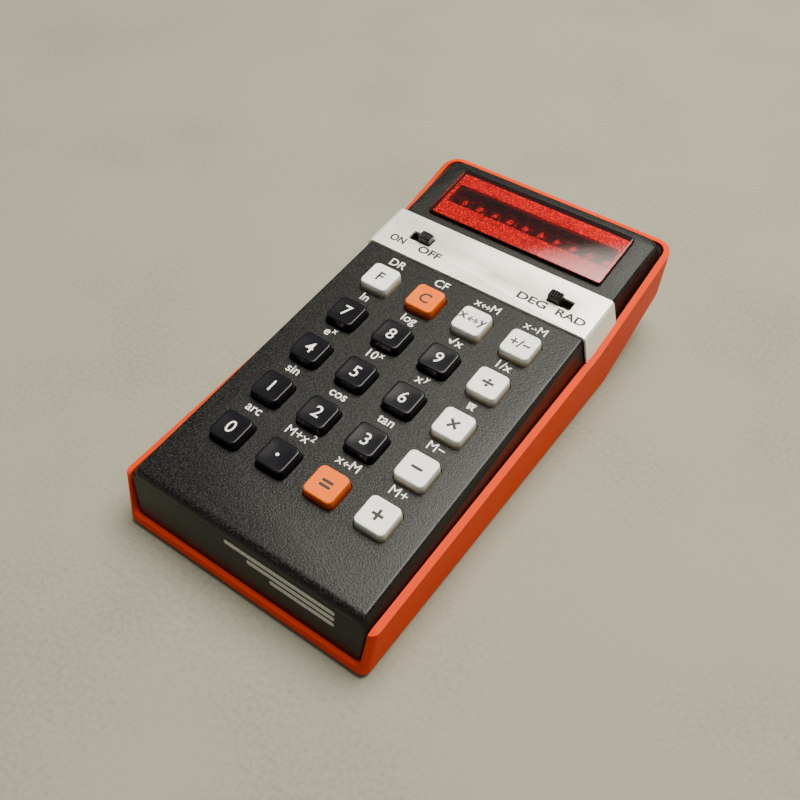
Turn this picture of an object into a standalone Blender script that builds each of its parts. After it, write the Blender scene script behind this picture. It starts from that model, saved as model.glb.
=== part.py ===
"""Pocket calculator with a sliding battery cover, twenty sprung keys and two slide switches.

Units are metres. X runs across the case, Y from the keypad end to the display end, Z up.
The origin is on the table, under the middle of the case.
"""
import math

import bmesh
import bpy
from mathutils import Matrix

MM = 0.001
GAP = 0.3 * MM
STEP_RUN = 0.05 * MM
CUT_BELOW = -6 * MM
CUT_ABOVE = 3 * MM
PLATE_CORNER_RADIUS = 0.8 * MM
BOARD_CORNER_RADIUS = 1.0 * MM
POST_BITE = 0.6 * MM
SCREW_TIP_ROOM = 1.0 * MM

# Tray (lower case), a little wider and shorter at the rim than at the bottom
TRAY_BOTTOM_HALF_WIDTH = 37.75 * MM
TRAY_RIM_HALF_WIDTH = 38.6 * MM
TRAY_BOTTOM_FRONT = -74.2 * MM
TRAY_RIM_FRONT = -71.4 * MM
TRAY_BOTTOM_REAR = 74.2 * MM
TRAY_RIM_REAR = 72.8 * MM
TRAY_WALL = 1.8 * MM
TRAY_FLOOR = 2.6 * MM
TRAY_BOTTOM = 0.8 * MM
TRAY_FRONT_RADIUS = 2.2 * MM
TRAY_REAR_RADIUS = 5.0 * MM
TRAY_EDGE_RADIUS = 0.7 * MM
LIP_DROP = 0.6 * MM
SEAM = ((-74.5 * MM, 16.4 * MM), (30.0 * MM, 20.8 * MM), (74.5 * MM, 31.3 * MM))
UNDERSIDE = ((-74.5 * MM, TRAY_BOTTOM), (40.7 * MM, TRAY_BOTTOM), (74.5 * MM, 15.5 * MM))

# Panel (upper case), with a front face that leans back and a rolled edge above it
PANEL_TOP_HALF_WIDTH = 35.0 * MM
PANEL_SEAM_HALF_WIDTH = 36.45 * MM
TONGUE_HALF_WIDTH = 35.7 * MM
PANEL_THICKNESS = 2.0 * MM
PANEL_WALL = 2.3 * MM
PANEL_EDGE_RADIUS = 0.9 * MM
PANEL_REAR = 70.6 * MM
PANEL_REAR_DRAFT = 0.2 * MM
PANEL_REAR_EDGE_RADIUS = 1.7 * MM
PANEL_FRONT_CORNER_RADIUS = 1.2 * MM
PANEL_REAR_CORNER_RADIUS = 4.2 * MM
FRONT_FACE_Y = -73.1 * MM
FRONT_LEAN = 0.13
LEAN_REACH = 6 * MM
ROLL_RADIUS = 2.5 * MM
ROLL_STEPS = 6
SKIRT_DEPTH = 2.5 * MM
TONGUE_BOTTOM = 3.8 * MM
TONGUE_THICKNESS = 2.0 * MM
TONGUE_CORNER_RADIUS = 1.6 * MM

# Keypad plane: its middle, its tilt and the grid of keys on it
KEYPAD_X = 0.45 * MM
KEYPAD_Y = -18.0 * MM
KEYPAD_HEIGHT = 24.05 * MM
KEYPAD_TILT = math.radians(5.3)
COLUMN_PITCH = 15.0 * MM
ROW_PITCH = 15.5 * MM
KEY_ROWS = (
    ("key_function", "key_clear", "key_exchange", "key_sign"),
    ("key_7", "key_8", "key_9", "key_divide"),
    ("key_4", "key_5", "key_6", "key_multiply"),
    ("key_1", "key_2", "key_3", "key_minus"),
    ("key_0", "key_point", "key_equals", "key_plus"),
)
ORANGE_KEYS = ("key_clear", "key_equals")
KEY_BASE = 8.9 * MM
KEY_SHOULDER = 8.5 * MM
KEY_TOP = 7.8 * MM
KEY_CORNER_RADIUS = 1.4 * MM
KEY_RISE = 2.7 * MM
KEY_EDGE_DROP = 0.35 * MM
KEY_FLANGE = 10.6 * MM
KEY_FLANGE_THICKNESS = 0.9 * MM
KEY_STEM = 3.0 * MM
KEY_STEM_LENGTH = 0.7 * MM
KEY_CORNER_POINTS = 3

# Display plane, tilted a little more than the keypad
DISPLAY_Y = 54.6 * MM
DISPLAY_HEIGHT = 30.05 * MM
DISPLAY_TILT = math.radians(7.3)
WINDOW_WIDTH = 57.2 * MM
WINDOW_LENGTH = 20.9 * MM
WINDOW_Y = 1.2 * MM
WINDOW_BOTTOM = -0.95 * MM
WINDOW_TOP = 1.25 * MM
WINDOW_EDGE = 0.2 * MM
WINDOW_CLEARANCE = 0.15 * MM
POCKET_DEPTH = 1.0 * MM
POCKET_LEDGE = 0.9 * MM
MASK_TOP = -1.1 * MM
MASK_BOTTOM = -2.3 * MM
MASK_SLOT_WIDTH = 53.6 * MM
MASK_SLOT_LENGTH = 8.0 * MM
MASK_SLOT_Y = 2.1 * MM
DIGITS = 10
DIGIT_PITCH = 5.3 * MM
LENS_TOP = -3.3 * MM
LENS_SAG = 1.1 * MM
LENS_BASE = -6.2 * MM
LENS_BAR_LENGTH = 6.4 * MM
LENS_STEPS = 4
DISPLAY_BOARD_TOP = -6.5 * MM
DISPLAY_BOARD_WIDTH = 54.0 * MM
DISPLAY_BOARD_LENGTH = 20.0 * MM
BOARD_THICKNESS = 1.6 * MM

# Trim band and slide switches, measured on the keypad plane
BAND_FRONT = 43.1 * MM
BAND_REAR = 59.2 * MM
BAND_RISE = 0.65 * MM
BAND_SINK = 0.35 * MM
BAND_CLEARANCE = 0.2 * MM
BAND_SIDE = 0.7 * MM
BAND_EDGE_RADIUS = 1.4 * MM
SLOT_X = 22.8 * MM
SLOT_Y = 51.4 * MM
SLOT_WIDTH = 7.4 * MM
SLOT_LENGTH = 3.6 * MM
SLOT_CORNER_RADIUS = 0.5 * MM
SWITCH_TRAVEL = 3.0 * MM
KNOB_WIDTH = SLOT_WIDTH - SWITCH_TRAVEL - 2 * GAP
KNOB_LENGTH = SLOT_LENGTH - 2 * GAP
KNOB_BOTTOM = -2.3 * MM
KNOB_TOP = 2.9 * MM
KNOB_RIBS = 5
KNOB_RIB_HEIGHT = 0.45 * MM
SWITCH_BODY = (13.0 * MM, 7.0 * MM, 4.2 * MM)
SWITCH_BODY_TOP = -2.6 * MM

# Keypad board and dome sheet, measured on the keypad plane
DOME_SHEET_TOP = -5.3 * MM
DOME_SHEET_THICKNESS = 0.5 * MM
DOME_HEIGHT = 0.3 * MM
DOME_FOOT_RADIUS = 3.0 * MM
DOME_CROWN_RADIUS = 1.6 * MM
KEYPAD_BOARD_TOP = -5.9 * MM
KEYPAD_BOARD_WIDTH = 60.0 * MM
KEYPAD_BOARD_FRONT = -39.0 * MM
KEYPAD_BOARD_REAR = 38.0 * MM

# Main board on the tray floor
MAIN_BOARD_BOTTOM = 5.0 * MM
MAIN_BOARD_WIDTH = 52.0 * MM
MAIN_BOARD_FRONT = -68.5 * MM
MAIN_BOARD_REAR = -13.0 * MM
MAIN_BOARD_TOP = MAIN_BOARD_BOTTOM + BOARD_THICKNESS
BOARD_POST_X = 22.0 * MM
BOARD_POST_YS = (-65.0 * MM, -17.0 * MM)
BOARD_POST_RADIUS = 2.0 * MM
STAND_OFF = 0.1 * MM
CHIP_CORNER_RADIUS = 0.5 * MM
PROCESSOR_SIZE = (36 * MM, 13.5 * MM, 3.8 * MM)
PROCESSOR_Y = -42 * MM
DRIVER_SIZE = (19 * MM, 6.5 * MM, 3.4 * MM)
DRIVER_X = 13 * MM
DRIVER_Y = -24 * MM
CAN_RADIUS = 2.5 * MM
CAN_LENGTH = 11 * MM
CAN_X = 13 * MM
CAN_Y = -58.5 * MM
COIL_RADIUS = 3.8 * MM
COIL_HEIGHT = 4.5 * MM
COIL_X = 14 * MM

# Batteries, their bay and its cover
CELL_RADIUS = 7.1 * MM
CELL_LENGTH = 49.5 * MM
CELL_EDGE = 0.4 * MM
NUB_LENGTH = 1.0 * MM
NUB_RADIUS = 2.6 * MM
CELL_YS = (0.4 * MM, 15.3 * MM, 30.2 * MM)
CELL_Z = TRAY_BOTTOM + TRAY_FLOOR + CELL_RADIUS + 0.1 * MM
BAY_WIDTH = 51.6 * MM
BAY_FRONT = -7.6 * MM
BAY_REAR = 38.2 * MM
BAY_WALL_X = 27.1 * MM
BAY_WALL_THICKNESS = 1.2 * MM
BAY_WALL_TOP = 16.4 * MM
CONTACT_X = 26.0 * MM
CONTACT_THICKNESS = 0.4 * MM
CONTACT_HEIGHT = 9.0 * MM
CONTACT_WIDTH = 11.0 * MM
COVER_WIDTH = 55.2 * MM
COVER_DOVETAIL = 0.6 * MM
COVER_THICKNESS = 1.3 * MM
COVER_FRONT = -10.5 * MM
COVER_REAR = 38.0 * MM
COVER_WAY_REAR = 50.0 * MM
WIRE_RADIUS = 0.6 * MM
RIBBON_THICKNESS = 0.4 * MM
DISPLAY_RIBBON_HALF_WIDTH = 13 * MM
KEYPAD_RIBBON_HALF_WIDTH = 7 * MM

# Screws and feet
SCREW_X = 30.4 * MM
SCREW_FRONT_Y = -60.5 * MM
SCREW_REAR_Y = 47.0 * MM
SCREW_RADIUS = 1.0 * MM
SCREW_LENGTH = 8.0 * MM
SCREW_HEAD_RADIUS = 1.9 * MM
SCREW_HEAD_THICKNESS = 1.0 * MM
SCREW_HEAD_FRONT_Z = 1.0 * MM
SCREW_HEAD_REAR_Z = 3.75 * MM
POST_RADIUS = 2.2 * MM
BOSS_RADIUS = 3.0 * MM
BOSS_TOP = 7.5 * MM
FOOT_RADIUS = 2.8 * MM
FOOT_HEIGHT = 1.5 * MM
FOOT_EDGE = 0.2 * MM
FOOT_X = 31.5 * MM
FOOT_YS = (-68.0 * MM, 34.0 * MM)


# ---------------------------------------------------------------- mesh helpers

def material(name, color, roughness, metallic=0.0, transmission=0.0):
    """Make a material with one Principled BSDF."""
    new = bpy.data.materials.new(name)
    new.use_nodes = True
    shader = new.node_tree.nodes["Principled BSDF"]
    shader.inputs["Base Color"].default_value = (*color, 1.0)
    shader.inputs["Roughness"].default_value = roughness
    shader.inputs["Metallic"].default_value = metallic
    shader.inputs["Transmission Weight"].default_value = transmission
    return new


def finish_mesh(shape):
    """Turn a bmesh into a mesh with its faces out, its round faces smooth and its edges sharp."""
    bmesh.ops.remove_doubles(shape, verts=shape.verts, dist=1e-7)
    bmesh.ops.recalc_face_normals(shape, faces=shape.faces)
    mesh = bpy.data.meshes.new("shape")
    shape.to_mesh(mesh)
    shape.free()
    mesh.shade_smooth()
    mesh.set_sharp_from_angle(angle=math.radians(35))
    return mesh


def rounded_rectangle(width, length, radius, corner_points=4):
    """Outline of a rectangle with round corners, counter-clockwise from +X."""
    points = []
    for sign_x, sign_y, start in ((1, 1, 0), (-1, 1, 90), (-1, -1, 180), (1, -1, 270)):
        centre_x = sign_x * (width / 2 - radius)
        centre_y = sign_y * (length / 2 - radius)
        for step in range(corner_points):
            angle = math.radians(start + 90 * step / (corner_points - 1))
            points.append((centre_x + radius * math.cos(angle), centre_y + radius * math.sin(angle)))
    return points


def circle(radius, count=16):
    """Points evenly round a circle."""
    turns = [2 * math.pi * step / count for step in range(count)]
    return [(radius * math.cos(turn), radius * math.sin(turn)) for turn in turns]


def stacked(rings, matrix=None):
    """Close a solid through rings of equal length, each (outline, height), from the bottom up."""
    shape = bmesh.new()
    loops = [[shape.verts.new((x, y, height)) for x, y in outline] for outline, height in rings]
    for lower, upper in zip(loops, loops[1:]):
        for index in range(len(lower)):
            after = (index + 1) % len(lower)
            shape.faces.new((lower[index], lower[after], upper[after], upper[index]))
    shape.faces.new(reversed(loops[0]))
    shape.faces.new(loops[-1])
    mesh = finish_mesh(shape)
    if matrix:
        mesh.transform(matrix)
    return mesh


def prism(outline, bottom, top, matrix=None):
    """Extrude an outline of (x, y) points upward."""
    return stacked([(outline, bottom), (outline, top)], matrix)


def across_x(profile, half_width, x=0.0):
    """Extrude a side profile of (y, z) points across the case, about x."""
    turn = Matrix(((0, 0, 1, 0), (1, 0, 0, 0), (0, 1, 0, 0), (0, 0, 0, 1)))
    return prism(profile, x - half_width, x + half_width, turn)


def along_y(section, front, rear):
    """Extrude a cross-section of (x, z) points along the case."""
    turn = Matrix.Rotation(math.pi / 2, 4, "X")
    return prism(section, -rear, -front, turn)


def box(size, centre, corner=0.0):
    """A box about a centre; its upright edges are rounded when a corner radius is given."""
    outline = rounded_rectangle(size[0], size[1], corner or GAP / 10, 3 if corner else 2)
    return prism(outline, -size[2] / 2, size[2] / 2, Matrix.Translation(centre))


def cylinder(radius, bottom, top, x, y, count=16):
    """An upright cylinder."""
    return prism(circle(radius, count), bottom, top, Matrix.Translation((x, y, 0)))


def lofted(levels):
    """Close a solid through levels of (x, y, z) points down the +X side, mirrored to -X."""
    shape = bmesh.new()
    loops = []
    for right in levels:
        left = [(-x, y, z) for x, y, z in reversed(right)]
        loops.append([shape.verts.new(point) for point in right + left])
    count = len(loops[0])
    for lower, upper in zip(loops, loops[1:]):
        for index in range(count):
            after = (index + 1) % count
            shape.faces.new((lower[index], lower[after], upper[after], upper[index]))
    for loop in (loops[0], loops[-1]):
        for index in range(count // 2 - 1):
            mirror = count - 1 - index
            shape.faces.new((loop[index], loop[index + 1], loop[mirror - 1], loop[mirror]))
    return finish_mesh(shape)


def tube(path, radius, count=8):
    """A round wire along a path of (x, y, z) points that never doubles back."""
    shape = bmesh.new()
    loops = []
    for index, point in enumerate(path):
        before = path[max(index - 1, 0)]
        after = path[min(index + 1, len(path) - 1)]
        forward = (Matrix.Translation(after).translation - Matrix.Translation(before).translation)
        frame = forward.to_track_quat("Z", "Y").to_matrix().to_4x4()
        frame.translation = point
        loops.append([shape.verts.new(frame @ shape_point) for shape_point in ring_points(radius, count)])
    for lower, upper in zip(loops, loops[1:]):
        for index in range(count):
            after = (index + 1) % count
            shape.faces.new((lower[index], lower[after], upper[after], upper[index]))
    shape.faces.new(reversed(loops[0]))
    shape.faces.new(loops[-1])
    return finish_mesh(shape)


def ring_points(radius, count):
    """Points round a circle on the local XY plane, as vectors."""
    return [Matrix.Translation((x, y, 0)).translation for x, y in circle(radius, count)]


def joined(meshes):
    """One mesh from several that stay clear of each other."""
    shape = bmesh.new()
    for mesh in meshes:
        shape.from_mesh(mesh)
    result = bpy.data.meshes.new("joined")
    shape.to_mesh(result)
    shape.free()
    return result


def add_object(name, mesh, surface=None, parent=None, location=(0, 0, 0)):
    """Link a mesh to the scene as a named object."""
    new = bpy.data.objects.new(name, mesh)
    bpy.context.scene.collection.objects.link(new)
    if surface:
        mesh.materials.append(surface)
    new.parent = parent
    new.location = location
    return new


def combine(target, operation, mesh, parent=None):
    """Cut a mesh out of an object, or join it on, through a hidden helper object."""
    helper = add_object(f"{target.name}_{operation.lower()}_{len(target.modifiers)}", mesh, None, parent)
    helper.display_type = "WIRE"
    helper.hide_render = True
    modifier = target.modifiers.new(f"{operation.title()} {len(target.modifiers)}", "BOOLEAN")
    modifier.operation = operation
    modifier.solver = "EXACT"
    modifier.object = helper


def plane_empty(name, x, y, height, tilt):
    """An empty on one of the case's tilted planes, which carries what lies on it."""
    empty = bpy.data.objects.new(name, None)
    bpy.context.scene.collection.objects.link(empty)
    empty.location = (x, y, height)
    empty.rotation_euler = (tilt, 0, 0)
    return empty


# ---------------------------------------------------------------- case lines

def on_line(points, y):
    """Height at y on a line through (y, height) points."""
    for (y0, z0), (y1, z1) in zip(points, points[1:]):
        if y <= y1:
            break
    return z0 + (z1 - z0) * (y - y0) / (y1 - y0)


def seam(y):
    """Height of the joint between the two case halves."""
    return on_line(SEAM, y)


def underside(y):
    """Height of the tray's outer bottom."""
    return on_line(UNDERSIDE, y)


def keypad_height(y):
    """Height of the keypad plane."""
    return KEYPAD_HEIGHT + (y - KEYPAD_Y) * math.tan(KEYPAD_TILT)


def display_height(y):
    """Height of the display plane."""
    return DISPLAY_HEIGHT + (y - DISPLAY_Y) * math.tan(DISPLAY_TILT)


def keypad_to_y(distance):
    """Case Y of a distance measured back along the keypad plane from its middle."""
    return KEYPAD_Y + distance * math.cos(KEYPAD_TILT)


def front_face(height):
    """Case Y of the panel's leaning front face at a height."""
    return FRONT_FACE_Y + FRONT_LEAN * height


def roll_centre():
    """Middle of the roll that joins the front face to the keypad plane, as (y, height)."""
    along = KEYPAD_HEIGHT - KEYPAD_Y * math.tan(KEYPAD_TILT) - ROLL_RADIUS / math.cos(KEYPAD_TILT)
    inside = FRONT_FACE_Y + ROLL_RADIUS * math.hypot(1.0, FRONT_LEAN)
    height = (along + inside * math.tan(KEYPAD_TILT)) / (1 - FRONT_LEAN * math.tan(KEYPAD_TILT))
    return inside + FRONT_LEAN * height, height


def top_line(depth, sink):
    """Top of the panel, or of its hollow at a depth, as (y, height) points from front to back."""
    radius = ROLL_RADIUS - depth
    centre_y, centre_z = roll_centre()
    start = math.pi - math.atan(FRONT_LEAN)
    turn = start - math.pi / 2 - KEYPAD_TILT
    points = []
    for step in range(ROLL_STEPS + 1):
        angle = start - turn * step / ROLL_STEPS
        points.append((centre_y + radius * math.cos(angle), centre_z + radius * math.sin(angle)))
    front = keypad_to_y(BAND_FRONT)
    rear = keypad_to_y(BAND_REAR) - depth
    points.append((front, keypad_height(front) - depth))
    points.append((front + STEP_RUN, keypad_height(front) - depth - sink))
    points.append((rear, keypad_height(rear) - depth - sink))
    points.append((rear + STEP_RUN, display_height(rear) - depth))
    points.append((PANEL_REAR, display_height(PANEL_REAR) - depth))
    return points


def leaning(y, front, height):
    """Station moved forward with the leaning front face, less and less away from a front end."""
    fade = max(0.0, 1 - (y - front) / LEAN_REACH)
    return y + (front_face(height) - front) * fade


def corner_inset(distance, radius):
    """How far a round corner draws in the side at a distance from the end."""
    if distance >= radius:
        return 0.0
    return radius - math.sqrt(max(radius ** 2 - (radius - distance) ** 2, 0.0))


def stations(front, rear, front_radius, rear_radius, middle, corner_steps=4):
    """Plan points (x inset, y) down one side, closer together round the corners."""
    steps = [1 - math.cos(math.pi / 2 * step / corner_steps) for step in range(corner_steps + 1)]
    ys = [front + front_radius * step for step in steps]
    ys += [y for y in middle if front + front_radius < y < rear - rear_radius]
    ys += [rear - rear_radius * step for step in reversed(steps)]
    return [(corner_inset(y - front, front_radius) + corner_inset(rear - y, rear_radius), y) for y in ys]


# ---------------------------------------------------------------- case halves

def tray_level(inset, height, lift=0.0, rim=0.0):
    """Outline of the tray drawn in by an inset, at height(y) plus lift; rim is 0 below and 1 at the rim."""
    half = TRAY_BOTTOM_HALF_WIDTH + (TRAY_RIM_HALF_WIDTH - TRAY_BOTTOM_HALF_WIDTH) * rim - inset
    front = TRAY_BOTTOM_FRONT + (TRAY_RIM_FRONT - TRAY_BOTTOM_FRONT) * rim + inset
    rear = TRAY_BOTTOM_REAR + (TRAY_RIM_REAR - TRAY_BOTTOM_REAR) * rim - inset
    front_radius = TRAY_FRONT_RADIUS - min(inset, TRAY_FRONT_RADIUS - 0.4 * MM)
    rear_radius = TRAY_REAR_RADIUS - inset
    middle = (SEAM[1][0], UNDERSIDE[1][0])
    plan = stations(front, rear, front_radius, rear_radius, middle)
    return [(half - drawn, y, height(y) + lift) for drawn, y in plan]


def build_tray(surface):
    """Lower case: a tray with a sloping lip, a flat underside and a rising tail."""
    edge = TRAY_EDGE_RADIUS
    levels = [
        tray_level(edge, underside),
        tray_level(edge * 0.3, underside, edge * 0.3),
        tray_level(0.0, underside, edge),
        tray_level(0.0, seam, -LIP_DROP, 1.0),
        tray_level(TRAY_WALL, seam, 0.0, 1.0),
        tray_level(TRAY_WALL, underside, TRAY_FLOOR),
    ]
    tray = add_object("lower_case", lofted(levels), surface)
    floor = TRAY_BOTTOM + TRAY_FLOOR
    bay_length = BAY_REAR - BAY_FRONT
    bay_y = (BAY_REAR + BAY_FRONT) / 2
    wall_base = floor - 1 * MM
    raised = []
    for side in (-1, 1):
        centre = (side * BAY_WALL_X, bay_y, (wall_base + BAY_WALL_TOP) / 2)
        raised.append(box((BAY_WALL_THICKNESS, bay_length, BAY_WALL_TOP - wall_base), centre))
        raised.append(cylinder(BOSS_RADIUS, BOSS_TOP - 3 * MM, BOSS_TOP, side * SCREW_X, SCREW_REAR_Y))
        for y in BOARD_POST_YS:
            top = MAIN_BOARD_BOTTOM - GAP / 3
            raised.append(cylinder(BOARD_POST_RADIUS, wall_base, top, side * BOARD_POST_X, y, 12))
    combine(tray, "UNION", joined(raised))
    cuts = []
    for side in (-1, 1):
        for y, head in ((SCREW_FRONT_Y, SCREW_HEAD_FRONT_Z), (SCREW_REAR_Y, SCREW_HEAD_REAR_Z)):
            seat = head + SCREW_HEAD_THICKNESS + GAP / 3
            cuts.append(screw_cut(side * SCREW_X, y, seat))
        for y in FOOT_YS:
            top = FOOT_HEIGHT + GAP / 3
            cuts.append(cylinder(FOOT_RADIUS + GAP / 2, -1 * MM, top, side * FOOT_X, y, 20))
    combine(tray, "DIFFERENCE", joined(cuts + [tongue_cut()]))
    bay = box((BAY_WIDTH, bay_length, 8 * MM), (0, bay_y, floor))
    combine(tray, "DIFFERENCE", bay)
    combine(tray, "DIFFERENCE", along_y(cover_section(GAP), COVER_FRONT - GAP, COVER_WAY_REAR))
    return tray


def tongue_cut():
    """Opening in the tray's front wall for the panel's tongue, a little wider towards the top."""
    radius = TONGUE_CORNER_RADIUS + GAP
    bottom = TONGUE_BOTTOM - GAP
    low = TONGUE_HALF_WIDTH + GAP
    high = PANEL_SEAM_HALF_WIDTH + GAP
    right = [(high, 30 * MM), (high, seam(TRAY_RIM_FRONT))]
    for step in range(5):
        angle = math.pi / 2 * step / 4
        right.append((low - radius * (1 - math.cos(angle)), bottom + radius * (1 - math.sin(angle))))
    section = right + [(-x, z) for x, z in reversed(right)]
    return along_y(section, TRAY_BOTTOM_FRONT - 2 * MM, TRAY_RIM_FRONT + TRAY_WALL + GAP)


def screw_cut(x, y, seat):
    """Counterbore from below up to a seat, with a clearance hole above it."""
    wide = circle(SCREW_HEAD_RADIUS + GAP)
    narrow = circle(SCREW_RADIUS + GAP)
    rings = [(wide, -1 * MM), (wide, seat), (narrow, seat), (narrow, seat + 6 * MM)]
    return stacked(rings, Matrix.Translation((x, y, 0)))


def cover_section(clearance):
    """Dovetail cross-section of the battery cover, or of its way when a clearance is given."""
    bottom = TRAY_BOTTOM - (1 * MM if clearance else 0.0)
    top = TRAY_BOTTOM + COVER_THICKNESS + clearance
    slope = COVER_DOVETAIL / COVER_THICKNESS
    half_top = COVER_WIDTH / 2 + clearance
    half_bottom = half_top - slope * (top - bottom)
    return [(half_bottom, bottom), (half_top, top), (-half_top, top), (-half_bottom, bottom)]


def panel_plan(front, rear, front_radius, rear_radius, line):
    """Plan of the panel or its hollow, with a station at every bend of its top line."""
    skirt_step = line[0][0] + TONGUE_THICKNESS
    middle = sorted([y for y, _ in line] + [skirt_step, skirt_step + STEP_RUN, SEAM[1][0]])
    return stations(front, rear, front_radius, rear_radius, middle)


def edge_radius(y):
    """Radius of the panel's top edge, which grows round the rear corners."""
    start = PANEL_REAR - PANEL_REAR_CORNER_RADIUS
    turned = max(0.0, min(1.0, (y - start) / PANEL_REAR_CORNER_RADIUS))
    return PANEL_EDGE_RADIUS + (PANEL_REAR_EDGE_RADIUS - PANEL_EDGE_RADIUS) * turned, turned


def skirt_level(plan, front, line, corner_angle):
    """Lower edge of the panel: the tongue in front, with a round corner, and the skirt behind it."""
    inset = TONGUE_CORNER_RADIUS * (1 - math.sin(corner_angle))
    height = TONGUE_BOTTOM + TONGUE_CORNER_RADIUS * (1 - math.cos(corner_angle))
    level = []
    for drawn, y in plan:
        if y < front + TONGUE_THICKNESS + STEP_RUN / 2:
            level.append((TONGUE_HALF_WIDTH - drawn - inset, leaning(y, front, height), height))
        else:
            low = min(seam(y), on_line(line, y) - edge_radius(y)[0]) - SKIRT_DEPTH
            level.append((PANEL_SEAM_HALF_WIDTH - drawn, y, low))
    return level


def build_panel(surface, keypad, display):
    """Upper case: a rolled front with a tongue, straight sides and a skirt inside the tray."""
    line = top_line(0.0, BAND_SINK)
    front = line[0][0]
    plan = panel_plan(front, PANEL_REAR, PANEL_FRONT_CORNER_RADIUS, PANEL_REAR_CORNER_RADIUS, line)
    levels = [skirt_level(plan, front, line, math.pi / 2 * step / 3) for step in range(4)]
    level = []
    for drawn, y in plan:
        height = min(seam(y), on_line(line, y) - edge_radius(y)[0] - GAP)
        level.append((PANEL_SEAM_HALF_WIDTH - drawn, leaning(y, front, height), height))
    levels.append(level)
    for step in range(4):
        angle = math.pi / 2 * step / 3
        level = []
        for drawn, y in plan:
            radius, turned = edge_radius(y)
            inset = radius * (1 - math.cos(angle))
            drop = radius * (1 - math.sin(angle))
            end = y - (PANEL_REAR_DRAFT + inset) * turned
            level.append((PANEL_TOP_HALF_WIDTH - drawn - inset, end, on_line(line, end) - drop))
        levels.append(level)
    panel = add_object("upper_case", lofted(levels), surface)
    combine(panel, "DIFFERENCE", build_hollow())
    posts = []
    for side in (-1, 1):
        front_top = keypad_height(SCREW_FRONT_Y) - PANEL_THICKNESS + POST_BITE
        rear_top = display_height(SCREW_REAR_Y) - PANEL_THICKNESS + POST_BITE
        front_bottom = TRAY_BOTTOM + TRAY_FLOOR + GAP
        posts.append(cylinder(POST_RADIUS, front_bottom, front_top, side * SCREW_X, SCREW_FRONT_Y))
        posts.append(cylinder(POST_RADIUS, BOSS_TOP + GAP, rear_top, side * SCREW_X, SCREW_REAR_Y))
    combine(panel, "UNION", joined(posts))
    holes = []
    for side in (-1, 1):
        for y, head in ((SCREW_FRONT_Y, SCREW_HEAD_FRONT_Z), (SCREW_REAR_Y, SCREW_HEAD_REAR_Z)):
            end = head + SCREW_HEAD_THICKNESS + SCREW_LENGTH + SCREW_TIP_ROOM
            holes.append(cylinder(SCREW_RADIUS + GAP / 2, 0.0, end, side * SCREW_X, y, 12))
    combine(panel, "DIFFERENCE", joined(holes))
    openings = []
    for _, x, y in key_positions():
        outline = rounded_rectangle(KEY_BASE + 2 * GAP, KEY_BASE + 2 * GAP, KEY_CORNER_RADIUS + GAP)
        openings.append(prism(outline, CUT_BELOW, CUT_ABOVE, Matrix.Translation((x, y, 0))))
    combine(panel, "DIFFERENCE", joined(openings + slot_cuts()), keypad)
    width = WINDOW_WIDTH + 2 * WINDOW_CLEARANCE
    length = WINDOW_LENGTH + 2 * WINDOW_CLEARANCE
    inner = rounded_rectangle(width - 2 * POCKET_LEDGE, length - 2 * POCKET_LEDGE, 1 * MM)
    outer = rounded_rectangle(width, length, 1 * MM)
    rings = [(inner, CUT_BELOW), (inner, -POCKET_DEPTH), (outer, -POCKET_DEPTH), (outer, CUT_ABOVE)]
    combine(panel, "DIFFERENCE", stacked(rings, Matrix.Translation((0, WINDOW_Y, 0))), display)
    return panel


def build_hollow():
    """Space inside the upper case, open at the bottom."""
    line = top_line(PANEL_THICKNESS, 0.0)
    front = line[0][0]
    plan = panel_plan(front, PANEL_REAR - PANEL_WALL, 0.5 * MM, 2 * MM, line)
    half = PANEL_SEAM_HALF_WIDTH - PANEL_WALL
    bottom = -5 * MM
    reach = front_face(bottom) + TONGUE_THICKNESS - front
    low = []
    for drawn, y in plan:
        fade = max(0.0, 1 - (y - front) / LEAN_REACH)
        low.append((half - drawn, y + reach * fade, bottom))
    high = [(half - 1 * MM - drawn, y, on_line(line, y)) for drawn, y in plan]
    return lofted([low, high])


def key_positions():
    """Name and place of every key on the keypad plane."""
    for row, names in enumerate(KEY_ROWS):
        for column, name in enumerate(names):
            yield name, (column - 1.5) * COLUMN_PITCH, (2 - row) * ROW_PITCH


def slot_cuts():
    """The two switch slots, cut through the band and the panel."""
    outline = rounded_rectangle(SLOT_WIDTH, SLOT_LENGTH, SLOT_CORNER_RADIUS)
    places = [Matrix.Translation((side * SLOT_X, SLOT_Y, 0)) for side in (-1, 1)]
    return [prism(outline, CUT_BELOW, CUT_ABOVE, place) for place in places]


# ---------------------------------------------------------------- band, display and controls

def band_section(y, side, rise, radius):
    """Half of a U-shaped section over the panel at y, from the ledge up to the top middle."""
    foot = (PANEL_SEAM_HALF_WIDTH + side, seam(y) + GAP / 2)
    half = PANEL_TOP_HALF_WIDTH + side
    top = keypad_height(y) + rise
    points = [foot]
    for step in range(4):
        angle = math.pi / 2 * step / 3
        points.append((half - radius * (1 - math.cos(angle)), top - radius * (1 - math.sin(angle))))
    return points


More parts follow.
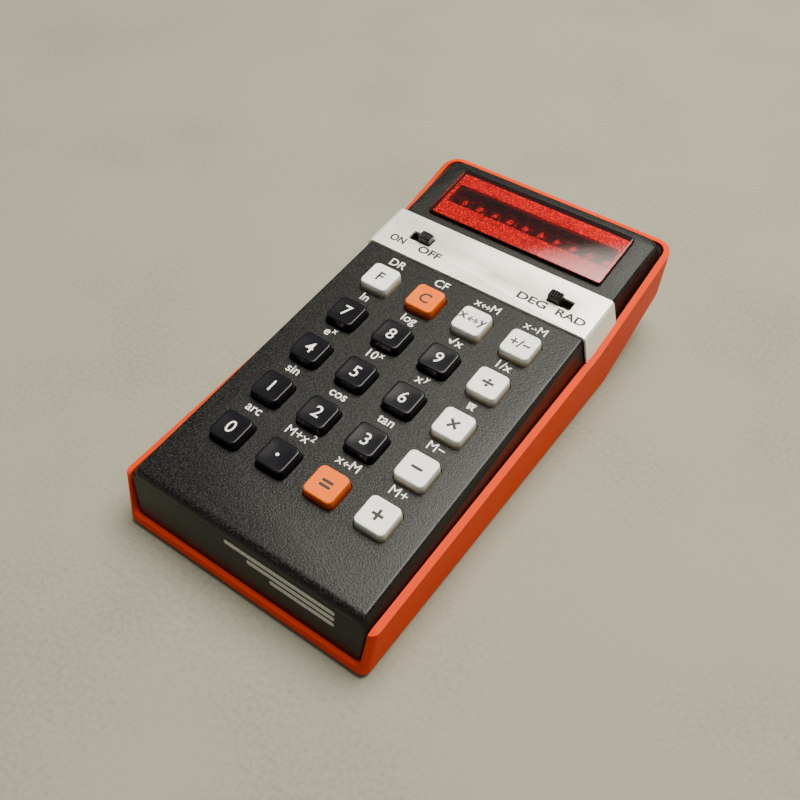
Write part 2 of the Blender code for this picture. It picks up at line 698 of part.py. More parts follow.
def build_band(surface, keypad):
    """Trim band: a bright strip that wraps over the case and down to the ledge."""
    shape = bmesh.new()
    loops = []
    ends = (keypad_to_y(BAND_FRONT) + 2 * STEP_RUN, keypad_to_y(BAND_REAR) - STEP_RUN)
    for y in (ends[0], SEAM[1][0], ends[1]):
        outer = band_section(y, BAND_SIDE, BAND_RISE, BAND_EDGE_RADIUS)
        inner = band_section(y, BAND_CLEARANCE, BAND_CLEARANCE - BAND_SINK, PANEL_EDGE_RADIUS)
        section = outer + [(-x, z) for x, z in reversed(outer)]
        section += [(-x, z) for x, z in inner] + list(reversed(inner))
        loops.append([shape.verts.new((x, y, z)) for x, z in section])
    for near, far in zip(loops, loops[1:]):
        for index in range(len(near)):
            after = (index + 1) % len(near)
            shape.faces.new((near[index], near[after], far[after], far[index]))
    shape.faces.new(loops[0])
    shape.faces.new(reversed(loops[-1]))
    band = add_object("trim_band", finish_mesh(shape), surface)
    combine(band, "DIFFERENCE", joined(slot_cuts()), keypad)
    return band


def build_key(name, surface, parent, x, y):
    """Key: a cap through the panel, a flange under it and a short stem over its dome."""
    panel_under = -PANEL_THICKNESS - GAP
    flange_under = panel_under - KEY_FLANGE_THICKNESS
    stem = rounded_rectangle(KEY_STEM, KEY_STEM, 0.6 * MM, KEY_CORNER_POINTS)
    flange = rounded_rectangle(KEY_FLANGE, KEY_FLANGE, KEY_CORNER_RADIUS, KEY_CORNER_POINTS)
    base = rounded_rectangle(KEY_BASE, KEY_BASE, KEY_CORNER_RADIUS, KEY_CORNER_POINTS)
    shoulder = rounded_rectangle(KEY_SHOULDER, KEY_SHOULDER, KEY_CORNER_RADIUS, KEY_CORNER_POINTS)
    top = rounded_rectangle(KEY_TOP, KEY_TOP, KEY_CORNER_RADIUS, KEY_CORNER_POINTS)
    rings = [
        (stem, flange_under - KEY_STEM_LENGTH),
        (stem, flange_under),
        (flange, flange_under),
        (flange, panel_under),
        (base, panel_under),
        (base, 0.0),
        (shoulder, KEY_RISE - KEY_EDGE_DROP),
        (top, KEY_RISE),
    ]
    return add_object(name, stacked(rings), surface, parent, (x, y, 0))


def build_knob(name, surface, parent, x):
    """Slide switch knob: a block with ribs across its top."""
    half = KNOB_WIDTH / 2
    rib = KNOB_WIDTH / (2 * KNOB_RIBS - 1)
    outline = [(-half, KNOB_BOTTOM), (half, KNOB_BOTTOM)]
    for index in range(KNOB_RIBS):
        start = half - 2 * index * rib
        outline += [(start, KNOB_TOP), (start - rib, KNOB_TOP)]
        if index < KNOB_RIBS - 1:
            groove = KNOB_TOP - KNOB_RIB_HEIGHT
            outline += [(start - rib, groove), (start - 2 * rib, groove)]
    mesh = along_y(outline, -KNOB_LENGTH / 2, KNOB_LENGTH / 2)
    return add_object(name, mesh, surface, parent, (x, SLOT_Y, 0))


def build_lens_bar(surface, parent):
    """Clear bar over the digits, with one bubble for each."""
    half = DIGITS * DIGIT_PITCH / 2
    outline = [(-half, LENS_BASE), (half, LENS_BASE)]
    for digit in range(DIGITS):
        start = half - digit * DIGIT_PITCH
        for step in range(LENS_STEPS):
            across = step / LENS_STEPS
            drop = LENS_SAG * (2 * across - 1) ** 2
            outline.append((start - across * DIGIT_PITCH, LENS_TOP - drop))
    outline.append((-half, LENS_TOP - LENS_SAG))
    mesh = along_y(outline, -LENS_BAR_LENGTH / 2, LENS_BAR_LENGTH / 2)
    return add_object("lens_bar", mesh, surface, parent, (0, MASK_SLOT_Y, 0))


def build_display(paint, parent):
    """Window, mask, lens bar and display board."""
    full = rounded_rectangle(WINDOW_WIDTH, WINDOW_LENGTH, PLATE_CORNER_RADIUS)
    eased = rounded_rectangle(WINDOW_WIDTH - 2 * WINDOW_EDGE, WINDOW_LENGTH - 2 * WINDOW_EDGE, PLATE_CORNER_RADIUS)
    rings = [(full, WINDOW_BOTTOM), (full, WINDOW_TOP - WINDOW_EDGE), (eased, WINDOW_TOP)]
    place = Matrix.Translation((0, WINDOW_Y, 0))
    add_object("display_window", stacked(rings, place), paint["window"], parent)
    width = WINDOW_WIDTH - 2 * POCKET_LEDGE
    length = WINDOW_LENGTH - 2 * POCKET_LEDGE
    plate = prism(rounded_rectangle(width, length, PLATE_CORNER_RADIUS), MASK_BOTTOM, MASK_TOP, place)
    mask = add_object("display_mask", plate, paint["mask"], parent)
    slot = rounded_rectangle(MASK_SLOT_WIDTH, MASK_SLOT_LENGTH, PLATE_CORNER_RADIUS)
    cut = prism(slot, CUT_BELOW, CUT_ABOVE, Matrix.Translation((0, MASK_SLOT_Y, 0)))
    combine(mask, "DIFFERENCE", cut, parent)
    build_lens_bar(paint["lens"], parent)
    size = (DISPLAY_BOARD_WIDTH, DISPLAY_BOARD_LENGTH, BOARD_THICKNESS)
    board = box(size, (0, 0, DISPLAY_BOARD_TOP - BOARD_THICKNESS / 2), BOARD_CORNER_RADIUS)
    add_object("display_board", board, paint["board"], parent)


def build_keypad_boards(paint, parent):
    """Board under the keys and the sheet of domes on it."""
    length = KEYPAD_BOARD_REAR - KEYPAD_BOARD_FRONT
    middle = (KEYPAD_BOARD_REAR + KEYPAD_BOARD_FRONT) / 2
    size = (KEYPAD_BOARD_WIDTH, length, BOARD_THICKNESS)
    board = box(size, (0, middle, KEYPAD_BOARD_TOP - BOARD_THICKNESS / 2), BOARD_CORNER_RADIUS)
    add_object("keypad_board", board, paint["board"], parent)
    size = (KEYPAD_BOARD_WIDTH - 2 * MM, length - 5 * MM, DOME_SHEET_THICKNESS)
    sheet_mesh = box(size, (0, middle - 1 * MM, DOME_SHEET_TOP - DOME_SHEET_THICKNESS / 2), 1 * MM)
    sheet = add_object("dome_sheet", sheet_mesh, paint["film"], parent)
    domes = []
    for _, x, y in key_positions():
        rings = [
            (circle(DOME_FOOT_RADIUS + DOME_HEIGHT, 8), DOME_SHEET_TOP - DOME_SHEET_THICKNESS / 2),
            (circle(DOME_FOOT_RADIUS, 8), DOME_SHEET_TOP),
            (circle(DOME_CROWN_RADIUS, 8), DOME_SHEET_TOP + DOME_HEIGHT),
        ]
        domes.append(stacked(rings, Matrix.Translation((x, y, 0))))
    combine(sheet, "UNION", joined(domes), parent)


# ---------------------------------------------------------------- inside the tray

def build_main_board(paint):
    """Main board with its chips, capacitor and coil."""
    length = MAIN_BOARD_REAR - MAIN_BOARD_FRONT
    middle = (MAIN_BOARD_REAR + MAIN_BOARD_FRONT) / 2
    size = (MAIN_BOARD_WIDTH, length, BOARD_THICKNESS)
    board = box(size, (0, middle, MAIN_BOARD_BOTTOM + BOARD_THICKNESS / 2), BOARD_CORNER_RADIUS)
    add_object("main_board", board, paint["board"])
    chips = (
        ("processor_chip", PROCESSOR_SIZE, 0.0, PROCESSOR_Y),
        ("driver_chip_left", DRIVER_SIZE, -DRIVER_X, DRIVER_Y),
        ("driver_chip_right", DRIVER_SIZE, DRIVER_X, DRIVER_Y),
    )
    for name, size, x, y in chips:
        centre = (x, y, MAIN_BOARD_TOP + STAND_OFF + size[2] / 2)
        add_object(name, box(size, centre, CHIP_CORNER_RADIUS), paint["chip"])
    centre = (-CAN_X, CAN_Y, MAIN_BOARD_TOP + STAND_OFF + CAN_RADIUS)
    lying = Matrix.Translation(centre) @ Matrix.Rotation(math.pi / 2, 4, "Y")
    can = prism(circle(CAN_RADIUS), -CAN_LENGTH / 2, CAN_LENGTH / 2, lying)
    add_object("capacitor", can, paint["sleeve"])
    foot = MAIN_BOARD_TOP + STAND_OFF
    coil = cylinder(COIL_RADIUS, foot, foot + COIL_HEIGHT, COIL_X, CAN_Y, 20)
    add_object("coil", coil, paint["copper"])


def build_batteries(paint):
    """Three cells laid across the case, their contacts and the two wires to the board."""
    body = CELL_LENGTH - CELL_EDGE
    rings = [
        (circle(CELL_RADIUS - CELL_EDGE, 20), 0.0),
        (circle(CELL_RADIUS, 20), CELL_EDGE),
        (circle(CELL_RADIUS, 20), body),
        (circle(CELL_RADIUS - CELL_EDGE, 20), CELL_LENGTH),
        (circle(NUB_RADIUS, 20), CELL_LENGTH),
        (circle(NUB_RADIUS, 20), CELL_LENGTH + NUB_LENGTH),
    ]
    centred = Matrix.Translation((0, 0, -(CELL_LENGTH + NUB_LENGTH) / 2))
    for index, y in enumerate(CELL_YS):
        direction = 1 if index % 2 == 0 else -1
        place = Matrix.Translation((0, y, CELL_Z)) @ Matrix.Rotation(direction * math.pi / 2, 4, "Y") @ centred
        add_object(f"battery_cell_{index + 1}", stacked(rings, place), paint["cell"])
    first, second, third = CELL_YS
    plates = (
        ("contact_negative", -1, first, first),
        ("contact_bridge_right", 1, first, second),
        ("contact_bridge_left", -1, second, third),
        ("contact_positive", 1, third, third),
    )
    for name, side, start, end in plates:
        size = (CONTACT_THICKNESS, end - start + CONTACT_WIDTH, CONTACT_HEIGHT)
        plate = box(size, (side * CONTACT_X, (start + end) / 2, CELL_Z))
        add_object(name, plate, paint["spring"])
    edge = MAIN_BOARD_TOP + 2 * WIRE_RADIUS
    outside = BAY_WALL_X + BAY_WALL_THICKNESS / 2 + GAP + WIRE_RADIUS
    for name, side, start in (("wire_negative", -1, first), ("wire_positive", 1, third)):
        path = [
            (side * outside, start, CELL_Z),
            (side * outside, BAY_FRONT, CELL_Z),
            (side * (outside - 1 * MM), BAY_FRONT - 3 * MM, CELL_Z - 1 * MM),
            (side * (outside - 4 * MM), BAY_FRONT - 5.5 * MM, edge + 0.6 * MM),
            (side * (outside - 7 * MM), BAY_FRONT - 8 * MM, edge),
        ]
        add_object(name, tube(path, WIRE_RADIUS), paint["wire"])


def ribbon(points, half_width):
    """Flat cable of even thickness along (y, z) points."""
    half = RIBBON_THICKNESS / 2
    above = [(y, z + half) for y, z in points]
    below = [(y, z - half) for y, z in reversed(points)]
    return across_x(above + below, half_width)


def build_ribbons(surface):
    """Flat cables from the display to the keypad board and on to the main board."""
    rear_y = keypad_to_y(KEYPAD_BOARD_REAR)
    display_y = DISPLAY_Y - DISPLAY_BOARD_LENGTH / 2
    lie = GAP + RIBBON_THICKNESS / 2
    board_z = keypad_height(rear_y) + KEYPAD_BOARD_TOP
    below_display = display_height(display_y) + DISPLAY_BOARD_TOP - BOARD_THICKNESS
    points = [
        (rear_y - 0.3 * MM, board_z + 1.2 * lie),
        (rear_y + 3 * MM, board_z + lie),
        (rear_y + 10 * MM, board_z - 1.5 * MM),
        (rear_y + 17 * MM, below_display - 3.2 * MM),
        (display_y - 1 * MM, below_display - 2 * MM),
        (display_y + 3 * MM, below_display - 1 * MM),
    ]
    add_object("display_ribbon", ribbon(points, DISPLAY_RIBBON_HALF_WIDTH), surface)
    front_y = keypad_to_y(KEYPAD_BOARD_FRONT)
    under = keypad_height(front_y) + KEYPAD_BOARD_TOP - BOARD_THICKNESS
    points = [
        (front_y + 3 * MM, under - 0.7 * MM),
        (front_y - 2 * MM, under - 1.3 * MM),
        (front_y - 6 * MM, under - 2.6 * MM),
        (front_y - 9 * MM, MAIN_BOARD_TOP + 1.6 * MM),
        (front_y - 10.5 * MM, MAIN_BOARD_TOP + 0.5 * MM),
    ]
    add_object("keypad_ribbon", ribbon(points, KEYPAD_RIBBON_HALF_WIDTH), surface)


def build_cover(surface):
    """Battery cover with dovetail sides, which slides off towards the back."""
    return add_object("battery_cover", along_y(cover_section(0.0), COVER_FRONT, COVER_REAR), surface)


def build_fasteners(paint):
    """Four case screws and four feet."""
    shaft = circle(SCREW_RADIUS, 12)
    head = circle(SCREW_HEAD_RADIUS, 12)
    sole = circle(FOOT_RADIUS - FOOT_EDGE)
    pad = circle(FOOT_RADIUS)
    for side, hand in ((-1, "left"), (1, "right")):
        for y, base, place in (
            (SCREW_FRONT_Y, SCREW_HEAD_FRONT_Z, "front"),
            (SCREW_REAR_Y, SCREW_HEAD_REAR_Z, "rear"),
        ):
            seat = base + SCREW_HEAD_THICKNESS
            rings = [(head, base), (head, seat), (shaft, seat), (shaft, seat + SCREW_LENGTH)]
            mesh = stacked(rings, Matrix.Translation((side * SCREW_X, y, 0)))
            add_object(f"case_screw_{place}_{hand}", mesh, paint["steel"])
        for y, place in zip(FOOT_YS, ("front", "rear")):
            rings = [(sole, 0.0), (pad, FOOT_EDGE), (pad, FOOT_HEIGHT)]
            mesh = stacked(rings, Matrix.Translation((side * FOOT_X, y, 0)))
            add_object(f"foot_{place}_{hand}", mesh, paint["rubber"])


def build_calculator():
    """Put the whole calculator together."""
    paint = {
        "panel": material("Grained black plastic", (0.045, 0.043, 0.036), 0.5),
        "tray": material("Orange plastic", (0.85, 0.16, 0.02), 0.4),
        "band": material("Bright plated plastic", (0.78, 0.76, 0.70), 0.25, 1.0),
        "white_key": material("White plastic", (0.85, 0.84, 0.78), 0.35),
        "black_key": material("Black plastic", (0.012, 0.012, 0.016), 0.35),
        "orange_key": material("Orange key plastic", (0.90, 0.21, 0.03), 0.35),
        "window": material("Red clear acrylic", (0.75, 0.02, 0.01), 0.05, 0.0, 0.9),
        "mask": material("Pebbled red plastic", (0.5, 0.03, 0.02), 0.4),
        "lens": material("Clear lens plastic", (0.9, 0.9, 0.9), 0.05, 0.0, 0.9),
        "board": material("Green circuit board", (0.02, 0.16, 0.06), 0.5),
        "film": material("Polyester film", (0.75, 0.72, 0.62), 0.4),
        "chip": material("Black epoxy", (0.02, 0.02, 0.02), 0.55),
        "sleeve": material("Blue sleeve", (0.03, 0.08, 0.35), 0.4),
        "copper": material("Copper wire", (0.72, 0.32, 0.16), 0.35, 1.0),
        "cell": material("Cell label", (0.05, 0.05, 0.06), 0.35),
        "spring": material("Nickel-plated steel", (0.70, 0.68, 0.63), 0.3, 1.0),
        "wire": material("Red wire sleeve", (0.55, 0.03, 0.03), 0.45),
        "ribbon": material("Grey flat cable", (0.35, 0.35, 0.36), 0.5),
        "steel": material("Zinc-plated steel", (0.60, 0.60, 0.58), 0.35, 1.0),
        "rubber": material("Black rubber", (0.02, 0.02, 0.02), 0.85),
        "switch": material("Switch body", (0.12, 0.12, 0.10), 0.5),
    }
    keypad = plane_empty("keypad_plane", KEYPAD_X, KEYPAD_Y, KEYPAD_HEIGHT, KEYPAD_TILT)
    display = plane_empty("display_plane", 0.0, DISPLAY_Y, DISPLAY_HEIGHT, DISPLAY_TILT)
    build_panel(paint["panel"], keypad, display)
    build_tray(paint["tray"])
    build_band(paint["band"], keypad)
    build_display(paint, display)
    build_keypad_boards(paint, keypad)
    digits = [name for row in KEY_ROWS[1:] for name in row[:3]]
    for name, x, y in key_positions():
        kind = "black_key" if name in digits else "white_key"
        if name in ORANGE_KEYS:
            kind = "orange_key"
        build_key(name, paint[kind], keypad, x, y)
    rest = SLOT_X - SWITCH_TRAVEL / 2
    build_knob("power_switch_knob", paint["black_key"], keypad, -rest)
    build_knob("angle_switch_knob", paint["black_key"], keypad, rest)
    for side, name in ((-1, "power_switch_body"), (1, "angle_switch_body")):
        centre = (side * SLOT_X, SLOT_Y, SWITCH_BODY_TOP - SWITCH_BODY[2] / 2)
        add_object(name, box(SWITCH_BODY, centre, 0.4 * MM), paint["switch"], keypad)
    build_main_board(paint)
    build_batteries(paint)
    build_ribbons(paint["ribbon"])
    build_cover(paint["tray"])
    build_fasteners(paint)


for leftover in list(bpy.data.objects):
    bpy.data.objects.remove(leftover)
build_calculator()
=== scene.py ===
# %% [markdown]
# # A pocket calculator in orange and black
# A scientific calculator with light-emitting digits is a small sandwich: an orange tray, a black
# grained panel pressed into it, a bright trim band that wraps over both, and between them the keys,
# two slide switches, a red window and the boards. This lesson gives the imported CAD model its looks.
# Every new shape is worked out with numpy as a surface, and every finish is a node material.

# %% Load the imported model
import math
import bmesh
import bpy
import numpy as np
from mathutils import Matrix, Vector


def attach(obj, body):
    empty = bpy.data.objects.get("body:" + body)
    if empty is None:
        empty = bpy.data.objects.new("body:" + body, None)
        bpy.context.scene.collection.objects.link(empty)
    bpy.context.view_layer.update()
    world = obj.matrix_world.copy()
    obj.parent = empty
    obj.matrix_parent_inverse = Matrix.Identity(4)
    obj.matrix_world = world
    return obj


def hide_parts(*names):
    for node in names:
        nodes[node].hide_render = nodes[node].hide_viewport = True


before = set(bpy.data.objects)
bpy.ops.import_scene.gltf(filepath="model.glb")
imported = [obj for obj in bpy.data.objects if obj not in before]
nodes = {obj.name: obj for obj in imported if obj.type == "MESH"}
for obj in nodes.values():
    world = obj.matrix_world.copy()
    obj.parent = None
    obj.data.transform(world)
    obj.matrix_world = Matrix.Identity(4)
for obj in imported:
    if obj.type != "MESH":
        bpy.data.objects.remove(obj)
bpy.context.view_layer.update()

MM = 0.001

# %% [markdown]
# The keys, the band and the legends lie on a plane that leans by 5.3 degrees, and the window on one
# that leans by 7.3. It is easiest to build flat and then lean: a point is worked out in leaning axes
# (x, along the slope, out of the slope) and one small matrix turns it into the model's own axes.
# The same matrix, used backwards, measures a CAD node in the leaning axes.

# %% Leaning axes
KEYPAD_LEAN = math.radians(5.3)
DISPLAY_LEAN = math.radians(7.3)


def lean_matrix(lean):
    """Rotation about X by the lean, as a 3 x 3 array: columns are the leaning axes."""
    c, s = math.cos(lean), math.sin(lean)
    return np.array([[1, 0, 0], [0, c, -s], [0, s, c]])


def to_case(points, lean):
    """Points in leaning axes, turned into the case's axes: p = R q for every row."""
    return np.asarray(points, float) @ lean_matrix(lean).T


def leaning_box(node, lean=0.0):
    """Lowest and highest corner of a CAD node, measured in leaning axes."""
    mesh = nodes[node].data
    flat = np.empty(len(mesh.vertices) * 3)
    mesh.vertices.foreach_get("co", flat)
    turned = flat.reshape(-1, 3) @ lean_matrix(lean)
    return turned.min(axis=0), turned.max(axis=0)


KEYS = sorted(name for name in nodes if name.startswith("key_"))
KEY_RISE = 2.7 * MM
PANEL_LEVEL = leaning_box("key_5", KEYPAD_LEAN)[1][2] - KEY_RISE
print("keys:", len(KEYS), " panel level in mm:", round(PANEL_LEVEL / MM, 2))

# %% [markdown]
# ## Tools for surfaces
# A closed shape is a stack of rings: every row of the grid goes once round the piece, and the rows
# climb from its bottom to its top. The first and last row are closed with one face each, or they
# shrink to a point. `surface` turns such a grid into a mesh, joins the doubled points at the poles
# and lets the faces point out. Sharp edges are marked by angle, so the round parts stay smooth.

# %% Grid to mesh
SMOOTH_ANGLE = math.radians(38)


def tidy(mesh, angle=SMOOTH_ANGLE):
    """Merge doubled points, point the faces out, shade smooth and keep the real corners sharp."""
    shape = bmesh.new()
    shape.from_mesh(mesh)
    bmesh.ops.remove_doubles(shape, verts=shape.verts, dist=2e-7)
    bmesh.ops.dissolve_degenerate(shape, edges=shape.edges, dist=1e-8)
    bmesh.ops.recalc_face_normals(shape, faces=shape.faces)
    shape.to_mesh(mesh)
    shape.free()
    mesh.shade_smooth()
    mesh.set_sharp_from_angle(angle=angle)
    return mesh


def surface(grid, values=None):
    """Mesh of a grid (rows, columns, 3): quads between rows, columns closed on themselves.
    values is one number a row, kept on the points as the attribute "rise"."""
    grid = np.asarray(grid, float)
    rows, columns = grid.shape[:2]
    index = np.arange(rows * columns).reshape(rows, columns)
    after = np.roll(index, -1, axis=1)
    quads = np.stack([index[:-1], after[:-1], after[1:], index[1:]], axis=-1).reshape(-1, 4)
    faces = quads.tolist() + [index[0][::-1].tolist(), index[-1].tolist()]
    mesh = bpy.data.meshes.new("surface")
    mesh.from_pydata(grid.reshape(-1, 3).tolist(), [], faces)
    if values is not None:
        rise = mesh.attributes.new("rise", "FLOAT", "POINT")
        rise.data.foreach_set("value", np.repeat(np.asarray(values, float), columns))
    return tidy(mesh)


def sheet_of(grid):
    """Open sheet over a grid (rows, columns, 3) of points."""
    grid = np.asarray(grid, float)
    rows, columns = grid.shape[:2]
    index = np.arange(rows * columns).reshape(rows, columns)
    quads = np.stack([index[:-1, :-1], index[:-1, 1:], index[1:, 1:], index[1:, :-1]], axis=-1)
    mesh = bpy.data.meshes.new("sheet")
    mesh.from_pydata(grid.reshape(-1, 3).tolist(), [], quads.reshape(-1, 4).tolist())
    return mesh


def piece(name, mesh, finish, body="case", stands_for=()):
    """Put a mesh in the scene at the origin, give it its finish and let it ride on a body."""
    thing = bpy.data.objects.new(name, mesh)
    bpy.context.scene.collection.objects.link(thing)
    mesh.materials.clear()
    mesh.materials.append(finish)
    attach(thing, body)
    if stands_for:
        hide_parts(*stands_for)
    return thing


def joined(meshes):
    """One mesh of several."""
    shape = bmesh.new()
    for mesh in meshes:
        shape.from_mesh(mesh)
    whole = bpy.data.meshes.new("joined")
    shape.to_mesh(whole)
    shape.free()
    return whole


print("corners sharper than", round(math.degrees(SMOOTH_ANGLE)), "degrees stay sharp")

# %% [markdown]
# Most plastic pieces here have a rounded-square plan. A ring is four quarter circles: the centre of
# each sits one radius in from both sides. Stacking rings of changing half-width and height gives a
# key cap, a foot or a window, and `turned_profile` does the same with plain circles.

# %% Rings and stacks
def rounded_ring(half_x, half_y, radius, corner=9):
    """Points round a rounded rectangle: corner centre + radius (cos a, sin a), a quarter per corner."""
    radius = min(radius, half_x, half_y)
    starts = np.repeat(np.arange(4) * 90.0, corner)
    angle = np.radians(starts + np.tile(np.linspace(0, 90, corner), 4))
    sign_x = np.repeat([1, -1, -1, 1], corner)
    sign_y = np.repeat([1, 1, -1, -1], corner)
    x = sign_x * (half_x - radius) + radius * np.cos(angle)
    y = sign_y * (half_y - radius) + radius * np.sin(angle)
    return np.stack([x, y], axis=-1)


def stack(rings, heights, centre=(0, 0, 0)):
    """Grid of rings (rows, columns, 2) lifted to their heights, about a centre."""
    rings = np.asarray(rings, float)
    lift = np.broadcast_to(np.asarray(heights, float)[:, None], rings.shape[:2])
    return np.concatenate([rings, lift[..., None]], axis=-1) + np.asarray(centre, float)


def turned_profile(profile, centre, columns=32):
    """Profile of (radius, height) turned about an upright axis: (r cos a, r sin a, h)."""
    profile = np.asarray(profile, float)
    angle = np.linspace(0, 2 * math.pi, columns, endpoint=False)
    ring = np.stack([np.cos(angle), np.sin(angle)], axis=-1)
    return stack(profile[:, 0][:, None, None] * ring[None], profile[:, 1], centre)


def carried(section, path, side, up):
    """A closed section (n, 2) carried along a path (m, 3) of few bends: p + s x side + t x up."""
    section = np.asarray(section, float)
    path = np.asarray(path, float)
    side = np.broadcast_to(side, path.shape)
    up = np.broadcast_to(up, path.shape)
    return (path[:, None] + section[None, :, 0, None] * side[:, None]
            + section[None, :, 1, None] * up[:, None])


print("points in a ring with the usual corners:", len(rounded_ring(1, 1, 0.2)))

# %% [markdown]
# ## Tools for finishes
# Colours are written as the sRGB hex value a paint program shows, and one function turns them into
# the linear numbers that Blender mixes. One function adds a node, with its settings and its links,
# so that a finish reads as a list of layers. A pattern's scale is worked out from a size in mm:
# a texture of scale s repeats about every 1/s metres. Colour, roughness and bump each end in the
# shader, so the last node of each chain is told which socket its result goes into.

# %% Colour, node and material
def linear(hex_colour):
    """sRGB hex to linear RGBA: c / 12.92 below 0.04045, else ((c + 0.055) / 1.055) ** 2.4."""
    c = np.array([int(hex_colour[i:i + 2], 16) for i in (1, 3, 5)]) / 255
    c = np.where(c <= 0.04045, c / 12.92, ((c + 0.055) / 1.055) ** 2.4)
    return (*c.tolist(), 1.0)


def add_node(tree, kind, settings=None, links=None, stops=None, into=None, **properties):
    """Add one node: properties, socket values, colour stops, links; its result may go into a socket."""
    node = tree.nodes.new(kind)
    for key, value in properties.items():
        setattr(node, key, value)
    for socket, value in (settings or {}).items():
        node.inputs[socket].default_value = value
    if stops:
        elements = node.color_ramp.elements
        for element, (place, colour) in zip(elements, stops):
            element.position = place
            element.color = linear(colour)
    for socket, source in (links or {}).items():
        tree.links.new(source, node.inputs[socket])
    if into:
        tree.links.new(node.outputs[0], into)
    return node


def new_finish(name, **constants):
    """Material with one Principled shader; constants stand on the shader's own sockets."""
    finish = bpy.data.materials.new(name)
    finish.use_nodes = True
    tree = finish.node_tree
    shader = tree.nodes["Principled BSDF"]
    for socket, value in constants.items():
        shader.inputs[socket.replace("_", " ")].default_value = value
    place = add_node(tree, "ShaderNodeTexCoord").outputs["Object"]
    return finish, tree, shader, place


def per_mm(size):
    """Texture scale for a pattern of this size in mm."""
    return 1000.0 / size


print("mid grey in linear light:", round(linear("#808080")[0], 3))

# %% [markdown]
# ## Black panel: moulded ABS with a spark-eroded grain
# The mould was etched by sparks, which leaves a fine pebble all over the top face: grains of about
# 0.3 mm, each with a tiny glint. The upright front face was polished, so the grain fades there. A
# fine noise less a cell pattern makes the pebbles in the bump and in the colour, which is painted
# lighter on their crowns as a highlight and darker in their valleys as shade. A slow cloud makes the
# gloss uneven, as handling does. Grains are drawn at 0.34 mm, a little coarse, so that they show at
# arm's length.

# %% Grained ABS
def grained_abs(name, deep, light, grain, height=0.07):
    """Pebbled moulded plastic: bump from cells, and a colour painted lighter on the crowns as highlight and
    darker in the valleys as shade; faded where the face is upright.
    """
    finish, tree, shader, place = new_finish(name, IOR=1.54, Specular_IOR_Level=0.27)
    pebble = add_node(tree, "ShaderNodeTexNoise", {"Scale": per_mm(grain), "Detail": 2.0,
                                                   "Roughness": 0.62}, {"Vector": place})
    cells = add_node(tree, "ShaderNodeTexVoronoi", {"Scale": per_mm(grain * 1.25)}, {"Vector": place},
                     feature="SMOOTH_F1")
    both = add_node(tree, "ShaderNodeMath", {}, {0: pebble.outputs["Fac"], 1: cells.outputs["Distance"]},
                    operation="SUBTRACT")
    # painted highlight on the pebbles' crowns, painted shade in their valleys
    tone = add_node(tree, "ShaderNodeValToRGB", links={"Fac": both.outputs[0]},
                    stops=((0.02, deep), (0.34, light)))
    cloud = add_node(tree, "ShaderNodeTexNoise", {"Scale": per_mm(28), "Detail": 4.0}, {"Vector": place})
    add_node(tree, "ShaderNodeMapRange", {"To Min": 0.34, "To Max": 0.44},
             {"Value": cloud.outputs["Fac"]}, into=shader.inputs["Roughness"])
    way = add_node(tree, "ShaderNodeNewGeometry").outputs["Normal"]
    upward = add_node(tree, "ShaderNodeSeparateXYZ", links={"Vector": way}).outputs["Z"]
    lying = {"From Min": 0.25, "From Max": 0.8}
    flat = add_node(tree, "ShaderNodeMapRange", lying, {"Value": upward})
    add_node(tree, "ShaderNodeMixRGB", {"Color1": linear(deep)},
             {"Fac": flat.outputs["Result"], "Color2": tone.outputs["Color"]},
             into=shader.inputs["Base Color"])
    fade = add_node(tree, "ShaderNodeMapRange", {**lying, "To Min": 0.05, "To Max": 0.55},
                    {"Value": upward})
    add_node(tree, "ShaderNodeBump", {"Distance": height * MM},
             {"Height": both.outputs[0], "Strength": fade.outputs["Result"]},
             into=shader.inputs["Normal"])
    return finish


PANEL_BLACK = grained_abs("spark_grained_black_abs", "#040404", "#2b2a26", grain=0.34)
print("panel finish:", PANEL_BLACK.name)

# %% [markdown]
# ## Orange tray, keys and small mouldings: satin ABS
# A satin moulding is nearly one colour, yet never quite: the pigment flows in slow streaks, the
# surface has a fine orange-peel from the mould, and the gloss is a little uneven. The function
# below lays those over any colour. It serves the tray and the switches, and further on the rubber
# feet, the chips and the wire sleeves.

# %% Satin ABS
def satin_abs(name, colour, shade, roughness=0.38, peel=0.6, peel_height=0.012, streak=9, gleam=0.4):
    """Moulded plastic: slow pigment streaks, a fine peel in the bump, a little uneven gloss."""
    finish, tree, shader, place = new_finish(name, IOR=1.53, Specular_IOR_Level=gleam)
    flow = add_node(tree, "ShaderNodeTexNoise", {"Scale": per_mm(streak), "Detail": 5.0, "Distortion": 0.6},
                    {"Vector": place})
    add_node(tree, "ShaderNodeValToRGB", links={"Fac": flow.outputs["Fac"]},
             stops=((0.25, shade), (0.62, colour)), into=shader.inputs["Base Color"])
    skin = add_node(tree, "ShaderNodeTexNoise", {"Scale": per_mm(peel), "Detail": 3.0}, {"Vector": place})
    add_node(tree, "ShaderNodeMapRange", {"To Min": roughness - 0.07, "To Max": roughness + 0.1},
             {"Value": flow.outputs["Fac"]}, into=shader.inputs["Roughness"])
    add_node(tree, "ShaderNodeBump", {"Strength": 0.5, "Distance": peel_height * MM},
             {"Height": skin.outputs["Fac"]}, into=shader.inputs["Normal"])
    return finish


TRAY_ORANGE = satin_abs("satin_orange_abs", "#e23c00", "#d63600", roughness=0.42, gleam=0.04, streak=22)
KNOB_BLACK = satin_abs("satin_black_knob_abs", "#141414", "#0c0c0c", roughness=0.34, streak=2)
SWITCH_GREY = satin_abs("switch_body_olive_abs", "#5a5a4c", "#47473b", roughness=0.5, streak=3)
print("tray and switch finishes:", [m.name for m in (TRAY_ORANGE, KNOB_BLACK, SWITCH_GREY)])
